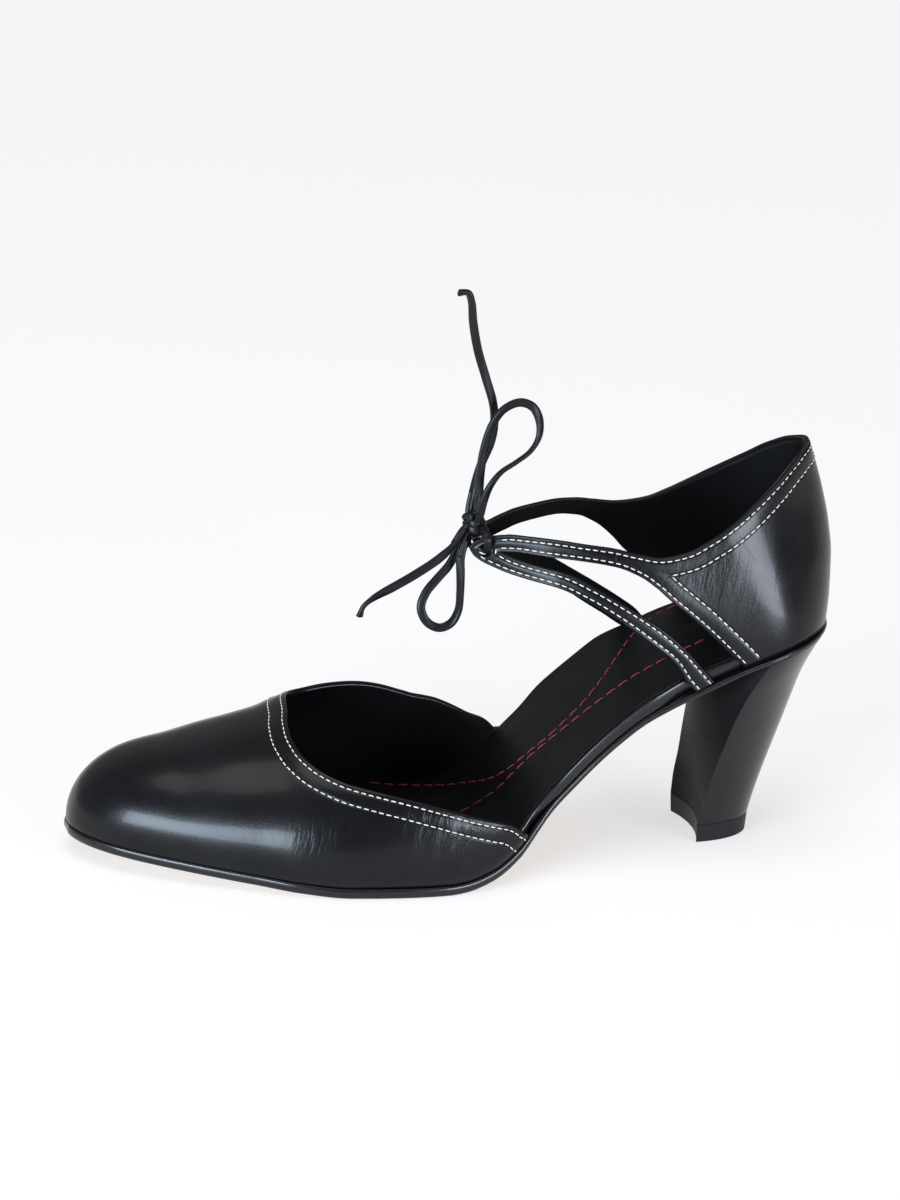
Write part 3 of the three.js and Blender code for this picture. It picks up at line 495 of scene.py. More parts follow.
def sheet(grids):
    """One sheet from grids of spots: each is an array of outer points, one of inner points, one of the values
    at each spot and whether its faces are turned. Spots that lie on each other become one."""
    outer, inner, values, faces = [], [], [], []
    start = 0
    for out, into, value, turned in grids:
        spot = numbers(*out.shape[:2])
        quads = grid_faces(spot) + start
        faces.append(quads[:, ::-1] if turned else quads)
        outer.append(out.reshape(-1, 3))
        inner.append(into.reshape(-1, 3))
        values.append(value.reshape(-1, value.shape[-1]))
        start += spot.size
    outer, inner, values = np.vstack(outer), np.vstack(inner), np.vstack(values)
    _, first, of = np.unique(np.round(outer, 3), axis=0, return_index=True, return_inverse=True)
    faces = of.reshape(-1)[np.vstack(faces)]
    return outer[first], inner[first], values[first], faces


def clean(faces):
    """Lists of corners without repeats, and without faces that keep fewer than three."""
    keep = faces != np.roll(faces, 1, axis=1)
    return [tuple(face[kept].tolist()) for face, kept in zip(faces, keep) if kept.sum() > 2]


def wall(outer, inner, values, faces, bulge, steps=6):
    """A closed wall: the sheet outside, the same sheet turned round inside, and along each free edge a rim
    whose points lie on half an ellipse from skin to skin, bulging away from the sheet. Returns points,
    faces, which of them lie inside (1, the others 0) and the values of each point, which are PLAIN off the
    outside."""
    count = len(outer)
    start = faces.reshape(-1)
    end = np.roll(faces, -1, axis=1).reshape(-1)
    real = start != end
    start, end = start[real], end[real]
    free = ~np.isin(start * count + end, end * count + start)
    start, end = start[free], end[free]
    after = np.zeros(count, int)
    before = np.zeros(count, int)
    after[start] = end
    before[end] = start
    rim = np.unique(start)
    index = np.zeros(count, int)
    index[rim] = np.arange(len(rim))
    along = outer[after[rim]] - outer[before[rim]]
    across = (outer[rim] - inner[rim]) / 2
    away = unit(np.cross(along, across), 1e-9)
    middle = (outer[rim] + inner[rim]) / 2
    angles = np.pi * np.arange(1, steps) / steps
    rings = [middle + across * math.cos(a) + away * bulge * math.sin(a) for a in angles]
    points = np.vstack([outer, inner, *rings])
    levels = [rim, *(2 * count + k * len(rim) + np.arange(len(rim)) for k in range(steps - 1)), count + rim]
    a, b = index[start], index[end]
    strips = [np.stack([low[b], low[a], high[a], high[b]], 1) for low, high in zip(levels, levels[1:])]
    outside, inside = clean(faces), clean(faces[:, ::-1] + count)
    rims = np.vstack(strips).tolist()
    within = np.repeat([0, 1, 0], [len(outside), len(inside), len(rims)])
    plain = np.broadcast_to(PLAIN, (len(points) - count, len(PLAIN)))
    return points, outside + inside + rims, within, np.vstack([values, plain])


def distance_to(points, line):
    """Distance from each point to a line of straight stretches, the nearest of them."""
    spots = points.reshape(-1, 3)
    start, span = line[:-1], np.diff(line, axis=0)
    square = (span * span).sum(1) + 1e-12
    found = []
    for part in np.array_split(spots, max(len(spots) // 3000, 1)):
        offset = part[:, None] - start
        share = np.clip((offset * span).sum(-1) / square, 0, 1)
        found.append(np.linalg.norm(offset - share[..., None] * span, axis=-1).min(1))
    return np.concatenate(found).reshape(points.shape[:-1])


def row_at(points, normals, reach, offset):
    """The row that lies at an offset from an edge: on each line of a grid, whose reach rises from the edge,
    the place between two spots where it passes the offset."""
    past = reach >= offset
    lines = np.nonzero(past.any(1) & ~past[:, 0])[0]
    second = past.argmax(1)[lines]
    low, high = reach[lines, second - 1], reach[lines, second]
    share = ((offset - low) / (high - low))[:, None]
    place = lerp(points[lines, second - 1], points[lines, second], share)
    normal = lerp(normals[lines, second - 1], normals[lines, second], share)
    return place, unit(normal)


def offset_row(edge, normals, amount, towards):
    """The row beside an edge, in from it towards a spot; what comes too near another part of the edge, as
    in a sharp bend, is left out."""
    inward = unit(np.cross(np.gradient(edge, axis=0), normals), 1e-9)
    inward *= np.sign(((towards - edge) * inward).sum(1))[:, None]
    row = edge + inward * amount
    keep = distance_to(row, edge) > amount - BEND_SLACK
    return row[keep], normals[keep]


def grid_normals(points):
    """Square to the surface at each spot of a grid, from the differences along its rows and columns."""
    return unit(np.cross(np.gradient(points, axis=0), np.gradient(points, axis=1)), 1e-12)


def read_line(arc, values, places):
    """Values on a line, read at lengths of its arc."""
    return np.stack([np.interp(places, arc, column) for column in values.T], 1)


def stitches(rows, pitch, length, thread, lift, hidden=0.0):
    """Stitches along rows of (points, normals): each is a six sided thread that swells from its ends to its
    middle and rises over the leather as a flat arch, sunk where it goes in. None lies nearer the knot's
    middle than hidden."""
    ring = np.array([-1.0, -0.82, -0.4, 0.0, 0.4, 0.82, 1.0])
    around = np.arange(THREAD_SIDES) * 2 * math.pi / THREAD_SIDES
    swell = np.sqrt(1 - 0.93 * ring**4)
    rise = lift - (lift + 0.35 * thread) * ring**4
    forward = (ring * length / 2)[:, None]
    wide = swell[:, None] * np.cos(around) * thread / 2
    high = rise[:, None] + swell[:, None] * np.sin(around) * thread * 0.42
    bodies = []
    for path, normal in rows:
        arc = np.concatenate([[0], np.cumsum(np.linalg.norm(np.diff(path, axis=0), axis=1))])
        count = int(arc[-1] // pitch)
        if count < 1:
            continue
        at = (np.arange(count) + 0.5) * arc[-1] / count
        at = at[np.linalg.norm(read_line(arc, path, at) - KNOT_CENTRE, axis=1) >= hidden]
        ahead = unit(read_line(arc, path, at + 0.4 * length) - read_line(arc, path, at - 0.4 * length))
        up = read_line(arc, normal, at)
        up = unit(up - (up * ahead).sum(1, keepdims=True) * ahead)
        body = read_line(arc, path, at)[:, None, None]
        for axis, amount in ((ahead, forward), (np.cross(up, ahead), wide), (up, high)):
            body = body + axis[:, None, None] * amount[..., None]
        bodies.append(body)
    body = np.concatenate(bodies)
    one = numbers(*body.shape[1:3])
    starts = np.arange(len(body))[:, None, None] * one.size
    faces = (ring_faces(one) + starts).reshape(-1, 4).tolist()
    faces += (np.stack([one[0], one[-1][::-1]]) + starts).reshape(-1, THREAD_SIDES).tolist()
    return body.reshape(-1, 3), faces


def tube(path, width, thick, twist, ends=0.25, sides=14):
    """A flat thong along a path: a rounded oblong section, its wide way turned by twist from the plane
    across the path's own y direction, drawn in at both ends to close them."""
    ahead = unit(np.gradient(path, axis=0))
    flat = unit(np.array([0.0, 1.0, 0.0]) - ahead[:, 1:2] * ahead)
    other = np.cross(ahead, flat)
    turn = np.asarray(twist)[:, None]
    wide = np.cos(turn) * other + np.sin(turn) * flat
    deep = np.cross(ahead, wide)
    around = np.arange(sides) * 2 * math.pi / sides
    out = 0
    for axis, size, round_way in ((wide, width, np.cos(around)), (deep, thick, np.sin(around))):
        reach = size / 2 * np.sign(round_way) * np.abs(round_way) ** 0.62
        out = out + axis[:, None] * reach[:, None]
    body = path[:, None] + out
    first = path[:1, None] + out[:1] * 0.55 - ahead[:1, None] * ends
    last = path[-1:, None] + out[-1:] * 0.55 + ahead[-1:, None] * ends
    return closed_tube(np.concatenate([first, body, last]))


def thong_path(route):
    """Points close together along a strand's spline."""
    last = len(route) - 1
    return spline(route, np.linspace(0, last, last * STRAND_STEPS + 1))


def carry(reach, flex=0.0, lap=PLAIN[2]):
    """The carried values of a grid."""
    return together(reach, flex, lap).astype(float)


def in_metres(points):
    """The source's millimetres in metres from the part's own origin."""
    return (np.asarray(points) + SHIFT) / 1000


def add(name, data):
    """A new object in the scene."""
    made = bpy.data.objects.new(name, data)
    bpy.context.scene.collection.objects.link(made)
    return made


def mesh_piece(name, points, faces, finishes, part=None, values=None, smooth_to=None, stands_for=()):
    """A named piece on the shoe from points in millimetres, with the finish of each face as a number in part
    and its point values."""
    mesh = bpy.data.meshes.new(name)
    mesh.from_pydata(in_metres(points).tolist(), [], [list(face) for face in faces])
    for finish in finishes:
        mesh.materials.append(finish)
    if part is not None:
        mesh.polygons.foreach_set("material_index", np.asarray(part, np.int32))
    mesh.polygons.foreach_set("use_smooth", np.ones(len(mesh.polygons), bool))
    if values is not None:
        for key, value in zip(CARRIED, values.T):
            mesh.attributes.new(key, "FLOAT", "POINT").data.foreach_set("value", value.astype(np.float32))
    mesh.update()
    if smooth_to is not None:
        mesh.set_sharp_from_angle(angle=math.radians(smooth_to))
    piece = add(name, mesh)
    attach(piece, "root")
    if stands_for:
        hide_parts(*stands_for)
    return piece


PREFIX = "shoe "


class Value:
    """A socket of a finish, on which Python's operators add Math nodes."""

    def __init__(self, finish, socket):
        self.finish = finish
        self.socket = socket

    def math(self, operation, *others, swap=False):
        terms = [self, *others]
        if swap:
            terms.reverse()
        return self.finish.node("ShaderNodeMath", {"operation": operation}, dict(enumerate(terms)))

    def __add__(self, other):
        return self.math("ADD", other)

    def __radd__(self, other):
        return self.math("ADD", other, swap=True)

    def __sub__(self, other):
        return self.math("SUBTRACT", other)

    def __rsub__(self, other):
        return self.math("SUBTRACT", other, swap=True)

    def __mul__(self, other):
        return self.math("MULTIPLY", other)

    def __rmul__(self, other):
        return self.math("MULTIPLY", other, swap=True)

    def __abs__(self):
        return self.math("ABSOLUTE")

    def ramp(self, low, high, bottom=0.0, top=1.0):
        """A smooth way from bottom at low to top at high."""
        settings = {"interpolation_type": "SMOOTHSTEP"}
        return self.finish.node("ShaderNodeMapRange", settings, {0: self, 1: low, 2: high, 3: bottom, 4: top})

    def groove(self, place, half_width):
        """One along a line of the value, falling off to nothing on both sides of it."""
        return 1 - abs(self - place).ramp(0.0, half_width)


class Finish:
    """A material whose nodes are added through node()."""

    def __init__(self, name):
        self.material = bpy.data.materials.new(PREFIX + name)
        self.material.use_nodes = True
        self.tree = self.material.node_tree
        self.tree.nodes.clear()
        self.shader = self.tree.nodes.new("ShaderNodeBsdfPrincipled")
        result = self.tree.nodes.new("ShaderNodeOutputMaterial")
        self.tree.links.new(self.shader.outputs[0], result.inputs[0])

    def node(self, kind, settings=None, inputs=None, output=0):
        made = self.tree.nodes.new(kind)
        for name, value in (settings or {}).items():
            setattr(made, name, value)
        for name, value in (inputs or {}).items():
            self.put(made.inputs[name], value)
        return Value(self, made.outputs[output])

    def put(self, socket, value):
        if isinstance(value, Value):
            self.tree.links.new(value.socket, socket)
        else:
            socket.default_value = value

    def place(self, stretch=(1.0, 1.0, 1.0), turn=(0.0, 0.0, 0.0)):
        """Where a point lies on the piece, for a pattern that is turned and then stretched."""
        where = self.node("ShaderNodeTexCoord", output="Object")
        inputs = {"Vector": where, "Rotation": turn, "Scale": stretch}
        return self.node("ShaderNodeMapping", {"vector_type": "TEXTURE"}, inputs)

    def noise(self, scale, detail=2.0, rough=0.5, place=None):
        inputs = {"Vector": place or self.place(), "Scale": scale, "Detail": detail, "Roughness": rough}
        return self.node("ShaderNodeTexNoise", {"noise_dimensions": "3D"}, inputs)

    def cells(self, scale):
        return self.node("ShaderNodeTexVoronoi", {}, {"Vector": self.place(), "Scale": scale})

    def read(self, name):
        return self.node("ShaderNodeAttribute", {"attribute_name": name}, output="Fac")

    def blend(self, share, first, second):
        """Between two colours."""
        inputs = {0: share, 6: first, 7: second}
        return self.node("ShaderNodeMix", {"data_type": "RGBA"}, inputs, output=2)

    def tones(self, share, colour, first, second):
        """Between two shades of one colour."""
        return self.blend(share, shade(colour, first), shade(colour, second))

    def bump(self, height, strength, distance, under=None):
        inputs = {"Strength": strength, "Distance": distance, "Height": height}
        if under is not None:
            inputs["Normal"] = under
        return self.node("ShaderNodeBump", {}, inputs)

    def use(self, **sockets):
        for name, value in sockets.items():
            self.put(self.shader.inputs[name.replace("_", " ")], value)
        return self.material


def shade(colour, factor):
    """A colour made lighter or darker, with full alpha."""
    return (*(min(part * factor, 1.0) for part in colour[:3]), 1.0)


def smooth_leather(name, look):
    """Black calf: fine pebbles, a soft uneven polish, troughs under the seams, fine creases where it has
    been bent, and a step where one strap piece lies over another."""
    finish = Finish(name)
    cloud = finish.noise(42.0, 3.0, 0.55)
    fine = finish.noise(2600.0, 2.0, 0.6)
    pebble = finish.cells(1300.0)
    wear = finish.noise(150.0, 5.0, 0.65)
    scratch = finish.noise(420.0, 2.0, 0.6, finish.place((1.0, 1.0, 9.0), (0.3, 0.5, 0.2)))
    fold = finish.noise(560.0, 3.0, 0.6, finish.place((1.0, 5.5, 5.5), (0.0, -0.25, 0.0)))
    tone = finish.tones(cloud.ramp(0.35, 0.7), look.leather, 0.7, 1.4)
    rough = 0.19 + cloud * 0.12 + fine * 0.05 + scratch.ramp(0.62, 0.75) * 0.08 - wear.ramp(0.55, 0.8) * 0.05
    flex = finish.read("flex")
    seam = finish.read("seam")
    rows = seam.groove(look.first_row * 1000, 0.8) + seam.groove(look.second_row * 1000, 0.8)
    pillow = seam.groove((look.first_row + look.second_row) * 500, 2.4)
    step = finish.read("lap").ramp(-0.18, 0.18)
    bent = finish.bump(pebble * 0.6 + fine * 0.4, 0.14, 0.00012)
    bent = finish.bump(scratch, 0.1, 0.0001, bent)
    bent = finish.bump(fold.ramp(0.36, 0.64) * flex, 0.6, 0.0002, bent)
    bent = finish.bump(finish.noise(42.0, 1.0), 0.3, 0.0009, bent)
    bent = finish.bump(pillow * 0.3 - rows * 0.5 + step * 0.9, 0.7, 0.0004, bent)
    return finish.use(Base_Color=tone, Roughness=rough, Normal=bent, Coat_Weight=0.1, Coat_Roughness=0.1,
                      Specular_IOR_Level=0.2)


def lining_leather(name, look):
    """Thin dull lining with a fine brushed grain."""
    finish = Finish(name)
    cloud = finish.noise(70.0, 3.0)
    fine = finish.noise(2200.0, 3.0, 0.6, finish.place((1.0, 4.0, 1.0)))
    tone = finish.tones(cloud, look.lining, 0.7, 1.4)
    bent = finish.bump(fine + cloud, 0.2, 0.00012)
    return finish.use(Base_Color=tone, Roughness=0.5 + fine * 0.16, Normal=bent, Specular_IOR_Level=0.1)


def sock_leather(name, look):
    """Sock lining: smooth and slightly polished by the foot, with lengthwise rubs."""
    finish = Finish(name)
    cloud = finish.noise(38.0, 4.0, 0.6)
    rub = finish.noise(260.0, 4.0, 0.65, finish.place((7.0, 1.0, 7.0), (0.0, 0.0, -0.2)))
    fine = finish.noise(2400.0, 2.0)
    tone = finish.tones(cloud, look.lining, 0.6, 1.5)
    bent = finish.bump(rub, 0.25, 0.0001, finish.bump(fine, 0.14, 0.00006))
    rough = 0.36 + rub.ramp(0.4, 0.7) * 0.14 + cloud * 0.08
    return finish.use(Base_Color=tone, Roughness=rough, Normal=bent, Specular_IOR_Level=0.16)


def edge_leather(name, look):
    """Inked and burnished edge: near black, glossy, faintly ribbed."""
    finish = Finish(name)
    cloud = finish.noise(90.0, 3.0)
    rib = finish.noise(900.0, 2.0, 0.5, finish.place((5.0, 5.0, 1.0)))
    tone = finish.tones(cloud, look.leather, 0.6, 1.4)
    bent = finish.bump(rib + cloud * 0.5, 0.15, 0.0001)
    return finish.use(Base_Color=tone, Roughness=0.2 + rib * 0.12, Normal=bent, Coat_Weight=0.2,
                      Coat_Roughness=0.12, Specular_IOR_Level=0.35)


def sole_leather(name, look):
    """Worn tan sole: mottled, scratched along the foot, darker where it is dirty."""
    finish = Finish(name)
    cloud = finish.noise(28.0, 4.0, 0.6)
    fleck = finish.noise(700.0, 4.0, 0.7)
    scratch = finish.noise(240.0, 5.0, 0.75, finish.place((8.0, 1.0, 1.0), (0.0, 0.0, 0.25)))
    dirt = scratch.ramp(0.52, 0.7) * 0.7 + cloud.ramp(0.5, 0.75) * 0.5
    tone = finish.tones(dirt, look.sole, 1.0, 0.42)
    tone = finish.blend(fleck.ramp(0.5, 0.7) * 0.3, tone, shade(look.sole, 1.5))
    bent = finish.bump(fleck * 0.5 + scratch, 0.3, 0.0003)
    return finish.use(Base_Color=tone, Roughness=0.55 + fleck * 0.2, Normal=bent)


def heel_leather(name, look, dull):
    """Leather drawn over the heel block: level creases round it, an uneven polish, duller on the breast."""
    finish = Finish(name)
    level = finish.noise(560.0, 2.0, 0.6, finish.place((14.0, 14.0, 1.0), (0.02, 0.03, 0.0)))
    cloud = finish.noise(60.0, 3.0)
    fine = finish.noise(2600.0, 2.0)
    tone = finish.tones(cloud, look.leather, 0.8, 1.4)
    bent = finish.bump(level, 0.25, 0.00011, finish.bump(fine, 0.12, 0.00006))
    rough = 0.2 + level.ramp(0.4, 0.7) * 0.06 + cloud * 0.08 + dull
    return finish.use(Base_Color=tone, Roughness=rough, Normal=bent, Coat_Weight=0.15 - 0.3 * dull,
                      Coat_Roughness=0.12, Specular_IOR_Level=0.3 - 0.6 * dull)


def thong_leather(name, look):
    """Narrow cut thong: soft black with fibres."""
    finish = Finish(name)
    fibre = finish.noise(900.0, 4.0, 0.65)
    cloud = finish.noise(160.0, 2.0)
    tone = finish.tones(cloud, look.thong, 0.6, 1.6)
    bent = finish.bump(fibre + cloud, 0.3, 0.00012)
    return finish.use(Base_Color=tone, Roughness=0.27 + fibre * 0.2, Normal=bent, Specular_IOR_Level=0.22)


def rubber(name, look):
    """The heel's top piece: matt black with a fine tooth."""
    finish = Finish(name)
    fine = finish.noise(1500.0, 4.0, 0.7)
    cloud = finish.noise(120.0, 2.0)
    tone = finish.tones(cloud, look.leather, 0.8, 1.8)
    bent = finish.bump(fine, 0.3, 0.0002)
    return finish.use(Base_Color=tone, Roughness=0.42 + fine * 0.2, Normal=bent, Specular_IOR_Level=0.25)


def thread(name, colour):
    """Twisted sewing thread: fine slanted strands with painted shade between them, and a little random dirt.
    """
    finish = Finish(name)
    strand = finish.noise(3200.0, 2.0, 0.5, finish.place((1.0, 1.0, 3.0), (0.6, 0.5, 0.7)))
    dirt = finish.noise(220.0, 3.0)
    # painted shade between the strands, and a little dirt in patches, darken the thread's colour
    painted_shade_and_dirt = strand.ramp(0.35, 0.65) * 0.35 + dirt.ramp(0.5, 0.75) * 0.25
    tone = finish.tones(painted_shade_and_dirt, colour, 1.1, 0.5)
    return finish.use(Base_Color=tone, Roughness=0.7, Normal=finish.bump(strand, 0.4, 0.0001))


def length(name, default, text):
    """A size that a user may change, in metres."""
    return bpy.props.FloatProperty(
        name=name, default=default, min=0.0, description=text, unit="LENGTH", subtype="DISTANCE", precision=4
    )


def colour(name, default, text):
    return bpy.props.FloatVectorProperty(
        name=name, default=default, size=3, min=0.0, max=1.0, description=text, subtype="COLOR"
    )


class ShoeSizes(bpy.types.PropertyGroup):
    """Sizes of the shoe, those that drive the part's source."""

    length: length("Length", 0.234, "From the bulge of the heel counter to the toe tip")
    ball_width: length("Ball width", 0.081, "Outsole across the ball")
    seat_width: length("Seat width", 0.0584, "Outsole across the heel seat")
    heel_rise: length("Heel rise", 0.0685, "Floor to the underside of the sole at the back of the seat")
    instep_height: length("Instep height", 0.066, "Ridge of the last over the sole at the waist")
    counter_height: length("Counter height", 0.057, "Seat to the top of the collar at the back seam")
    seat_set: length("Seat set", 0.0012, "Back edge of the sole, in from the bulge of the counter")
    seat_round: length("Seat round", 0.025, "Length of the round at the back of the seat")
    collar_round: length("Collar round", 0.045, "The same at the top of the collar")
    strap_reach: length("Strap reach", 0.116, "Bulge of the counter to where the strap tips meet")
    nose_length: length("Nose length", 0.042, "Length of the round that closes the toe")
    outsole_thick: length("Outsole thickness", 0.003, "Outsole at the ball")
    insole_thick: length("Insole thickness", 0.0046, "Covered edge of the insole at the waist")
    wall: length("Wall", 0.0018, "Upper leather, lining and stiffening together")
    upper_bulge: length("Upper bulge", 0.0006, "How far the vamp swells over the edge of the sole")
    gap: length("Gap", 0.0003, "Between pieces that meet")
    vamp_gap: length("Vamp gap", 0.00042, "Between the sole and the vamp's feather edge")
    feather_depth: length("Feather depth", 0.004, "Height of the vamp's widest place over the sole")
    top_piece_thick: length("Top piece", 0.0056, "Thickness of the wearing lift")
    heel_tip_width: length("Heel tip width", 0.0274, "Heel across its front corners at the floor")
    heel_tip_back: length("Heel tip back", 0.0212, "Back of the heel at the floor, from the counter's bulge")
    heel_tip_front: length("Heel tip front", 0.0414, "Front corners of the heel at the floor")
    breast_hollow: length("Breast hollow", 0.0026, "Depth of the hollow in the heel's front at the floor")
    seat_breast: length("Seat breast", 0.0435, "Middle of the heel's front under the seat")
    hole_radius: length("Hole radius", 0.0019, "Punched hole in each strap tip")
    thong_width: length("Thong width", 0.0027, "Width of the lace")
    thong_thick: length("Thong thickness", 0.0015, "Thickness of the lace")


class ShoeLook(bpy.types.PropertyGroup):
    """Colours of the shoe, and its seams."""

    leather: colour("Leather", (0.0028, 0.0029, 0.0036), "Smooth black calf of upper, heel and edges")
    lining: colour("Lining", (0.0024, 0.0024, 0.0026), "Lining of upper and sock")
    sole: colour("Sole", (0.37, 0.235, 0.14), "Tan leather under the sole")
    thong: colour("Thong", (0.0032, 0.0032, 0.0038), "Leather of the lace")
    seam_thread: colour("Seam thread", (0.58, 0.555, 0.51), "Contrast thread of the upper")
    sock_thread: colour("Sock thread", (0.19, 0.009, 0.039), "Dark red thread of the sock lining")
    first_row: length("First row", 0.0012, "First row of stitching from the edge")
    second_row: length("Second row", 0.0055, "Second row of stitching from the edge")
    stitch_pitch: length("Stitch pitch", 0.0023, "From stitch to stitch on the upper")
    stitch_length: length("Stitch length", 0.0017, "Seen length of a stitch on the upper")
    thread_thick: length("Thread thickness", 0.00039, "Thread of the upper")
    sock_pitch: length("Sock pitch", 0.0044, "From stitch to stitch on the sock lining")
    sock_stitch: length("Sock stitch", 0.0038, "Seen length of a stitch on the sock lining")


def shape_of(context):
    """The shoe's shape from the scene's sizes, in millimetres."""
    sizes = context.scene.shoe_sizes
    size = {name: getattr(sizes, name) * 1000 for name in ShoeSizes.__annotations__}
    return Shape({**size, "side_fullness": 0.86, "feather_angle": 12})


def finish_of(name, make, *values):
    """A finish by name, made when it is first asked for. Its prefix keeps it apart from the solids' own
    materials."""
    return bpy.data.materials.get(PREFIX + name) or make(name, *values)


def upper_finishes(look):
    """The upper's outside and its lining."""
    outside = finish_of("upper_leather", smooth_leather, look)
    return [outside, finish_of("lining_leather", lining_leather, look)]


def vamp_grid(shape, along=96, across=150):
    """The vamp's outer and inner points from throat to toe, its creases pressed in, and their reach from
    the throat."""
    size = shape.size
    edge = 90 + size["feather_angle"]
    share = np.linspace(0, 1, along + 1)[:, None]
    share = 1 - (1 - share) ** 1.7
    around = np.linspace(-edge, edge, across + 1)[None, :]
    start = size["length"] * shape.throat(around)
    around = np.broadcast_to(around, (along + 1, across + 1))
    x = lerp(start, size["length"], share)
    outer = shape.section(x, around)
    inner = shape.section(lerp(start, size["length"] - size["wall"], share), around, size["wall"])
    normal = grid_normals(outer)
    press = np.zeros_like(x)
    for place, middle, half, slant, depth, width in CREASES:
        off = x - place - slant * (around - middle) / 10
        ends = np.exp(-(((around - middle) / half) ** 2))
        press += depth * ends * (0.6 * np.exp(-((off / width - 1.5) ** 2)) - np.exp(-((off / width) ** 2)))
    outer = outer + normal * press[..., None] * np.sign(normal[along // 2, across // 2, 2])
    reach = distance_to(outer, outer[0])
    return outer, inner, reach, around


def quarter_spots(shape, place):
    """Outer and inner points of the quarter's wall at places on its surface."""
    outer = shape.skin(place)
    normal = shape.skin_normal(place)
    return outer, outer - normal * shape.size["wall"], normal


def ribbon(lower, upper, across):
    """Places between two edges, line by line."""
    share = np.linspace(0, 1, across + 1)[None, :, None]
    return lerp(lower[:, None], upper[:, None], share)


def flip(grid):
    return grid[:, ::-1]


def broken_spline(places, breaks, per_row):
    """An edge through places, with a corner at each break."""
    stops = [0, *breaks, len(places) - 1]
    parts = []
    for first, last in zip(stops, stops[1:]):
        steps = np.linspace(0, last - first, (last - first) * per_row + 1)
        parts.append(spline(places[first : last + 1], steps)[0 if first == 0 else 1 :])
    return np.vstack(parts)


def counter_places(shape):
    """Places of the counter and upper straps from the inner tip round the back seam to the outer tip."""
    last = len(OUTER_COUNTER) - 1
    sides = []
    for rows, side in ((INNER_COUNTER[:0:-1], -1), (OUTER_COUNTER, 1)):
        step = np.arange(last, 0, -1) if side < 0 else np.arange(last + 1)
        foot = shape.foot_place(rows[:, 0], side)
        low = shape.place(rows[:, 0], rows[:, 1], side)
        lower = np.where((step <= SEAT_STEPS)[:, None], foot, low)
        sides.append((lower, shape.place(rows[:, 2], rows[:, 3], side)))
    lower = np.vstack([sides[0][0], sides[1][0]])
    upper = np.vstack([sides[0][1], sides[1][1]])
    low_line = broken_spline(lower, [last - SEAT_STEPS, last + SEAT_STEPS], ROW_STEPS)
    return ribbon(low_line, broken_spline(upper, [], ROW_STEPS), COUNTER_ACROSS)


def strap_places(shape, rows, side):
    """Places of a lower strap from its foot to the slit, between its front and rear edge."""
    front = shape.place(rows[:, 2], rows[:, 3], side)
    rear = shape.place(rows[:, 0], rows[:, 1], side)
    front[0] = shape.foot_place(rows[0, 2], side)
    rear[0] = shape.foot_place(rows[0, 0], side)
    return ribbon(broken_spline(front, [], ROW_STEPS), broken_spline(rear, [], ROW_STEPS), STRAP_ACROSS)


def tip_places(shape, side):
    """Places of a strap tip past the slit."""
    columns = [shape.place(TIP[:, k], TIP[:, k + 1], side) for k in (0, 2, 4)]
    front, middle, upper = (broken_spline(column, [], TIP_STEPS) for column in columns)
    return np.hstack([ribbon(front, middle, STRAP_ACROSS), ribbon(middle, upper, COUNTER_ACROSS)[:, 1:]])


def hole_centre(shape, side):
    """Middle of the wall where a strap tip is punched."""
    outer, inner, _ = quarter_spots(shape, shape.place(HOLE_ALONG, HOLE_RISE, side))
    return (outer + inner) / 2


def heel_ring(shape, level, sides=24):
    """A ring of the heel: a round back and sides up to the front corners, and a breast between them that
    bends from hollow at the floor to full at the seat."""
    size = shape.size
    way = {name: curve(HEEL["along"], HEEL[name])(level) for name in ("ridge", "half", "back", "breast")}
    top = size["seat_set"] + size["seat_round"]
    ridge = lerp(size["heel_tip_front"], top, way["ridge"])
    half = lerp(size["heel_tip_width"] / 2, shape.outline(np.array(top), size["gap"]), way["half"])
    back = lerp(size["heel_tip_back"], size["seat_set"] + size["gap"], way["back"])
    breast = lerp(size["heel_tip_front"] - size["breast_hollow"], size["seat_breast"], way["breast"])
    angle = np.pi / 2 * np.arange(sides + 1) / sides
    side = np.stack([ridge - (ridge - back) * np.cos(angle), half * np.sin(angle) ** 0.95], 1)
    share = np.sin(np.pi / 2 * np.arange(sides - 1, -1, -1) / sides) ** 0.95
    face = np.stack([lerp(breast, ridge, share**2), half * share], 1)
    outer = np.vstack([side, face])
    ring = np.vstack([outer, outer[-2:0:-1] * (1, -1)])
    x, y = ring.T
    full = shape.outline(x)
    seat = shape.under(x, np.clip(y / np.maximum(full, 1e-6), -1, 1)) - size["gap"]
    return np.stack([x, y, lerp(size["top_piece_thick"] + size["gap"], seat, level)], 1)


def stack(rings):
    """A closed solid from rings of the same count, bottom to top. A ring runs from the middle of the back
    along one side to the middle of the front and home along the other, with as many steps round a side as
    over half the front, so that each cap is a strip between the back and the front."""
    levels, count = rings.shape[:2]
    quarter = count // 4
    behind = np.arange(-quarter, quarter + 1) % count
    before = (count // 2 - np.arange(-quarter, quarter + 1)) % count
    cap = np.stack([behind[:-1], behind[1:], before[1:], before[:-1]], 1)
    top = (cap + (levels - 1) * count)[:, ::-1]
    return rings.reshape(-1, 3), ring_faces(numbers(levels, count)).tolist() + clean(cap) + clean(top)


def outward(piece):
    """Turns a closed piece's faces outwards."""
    mesh = piece.data
    work = bmesh.new()
    work.from_mesh(mesh)
    bmesh.ops.recalc_face_normals(work, faces=work.faces)
    work.to_mesh(mesh)
    work.free()
    return piece


def bevel(piece):
    """Rounds the sharp edges of a piece."""
    made = piece.modifiers.new("rounded edges", "BEVEL")
    made.width = BEVEL / 1000
    made.segments = 3
    made.limit_method = "ANGLE"
    made.angle_limit = math.radians(SHARP + 1)
    made.use_clamp_overlap = True


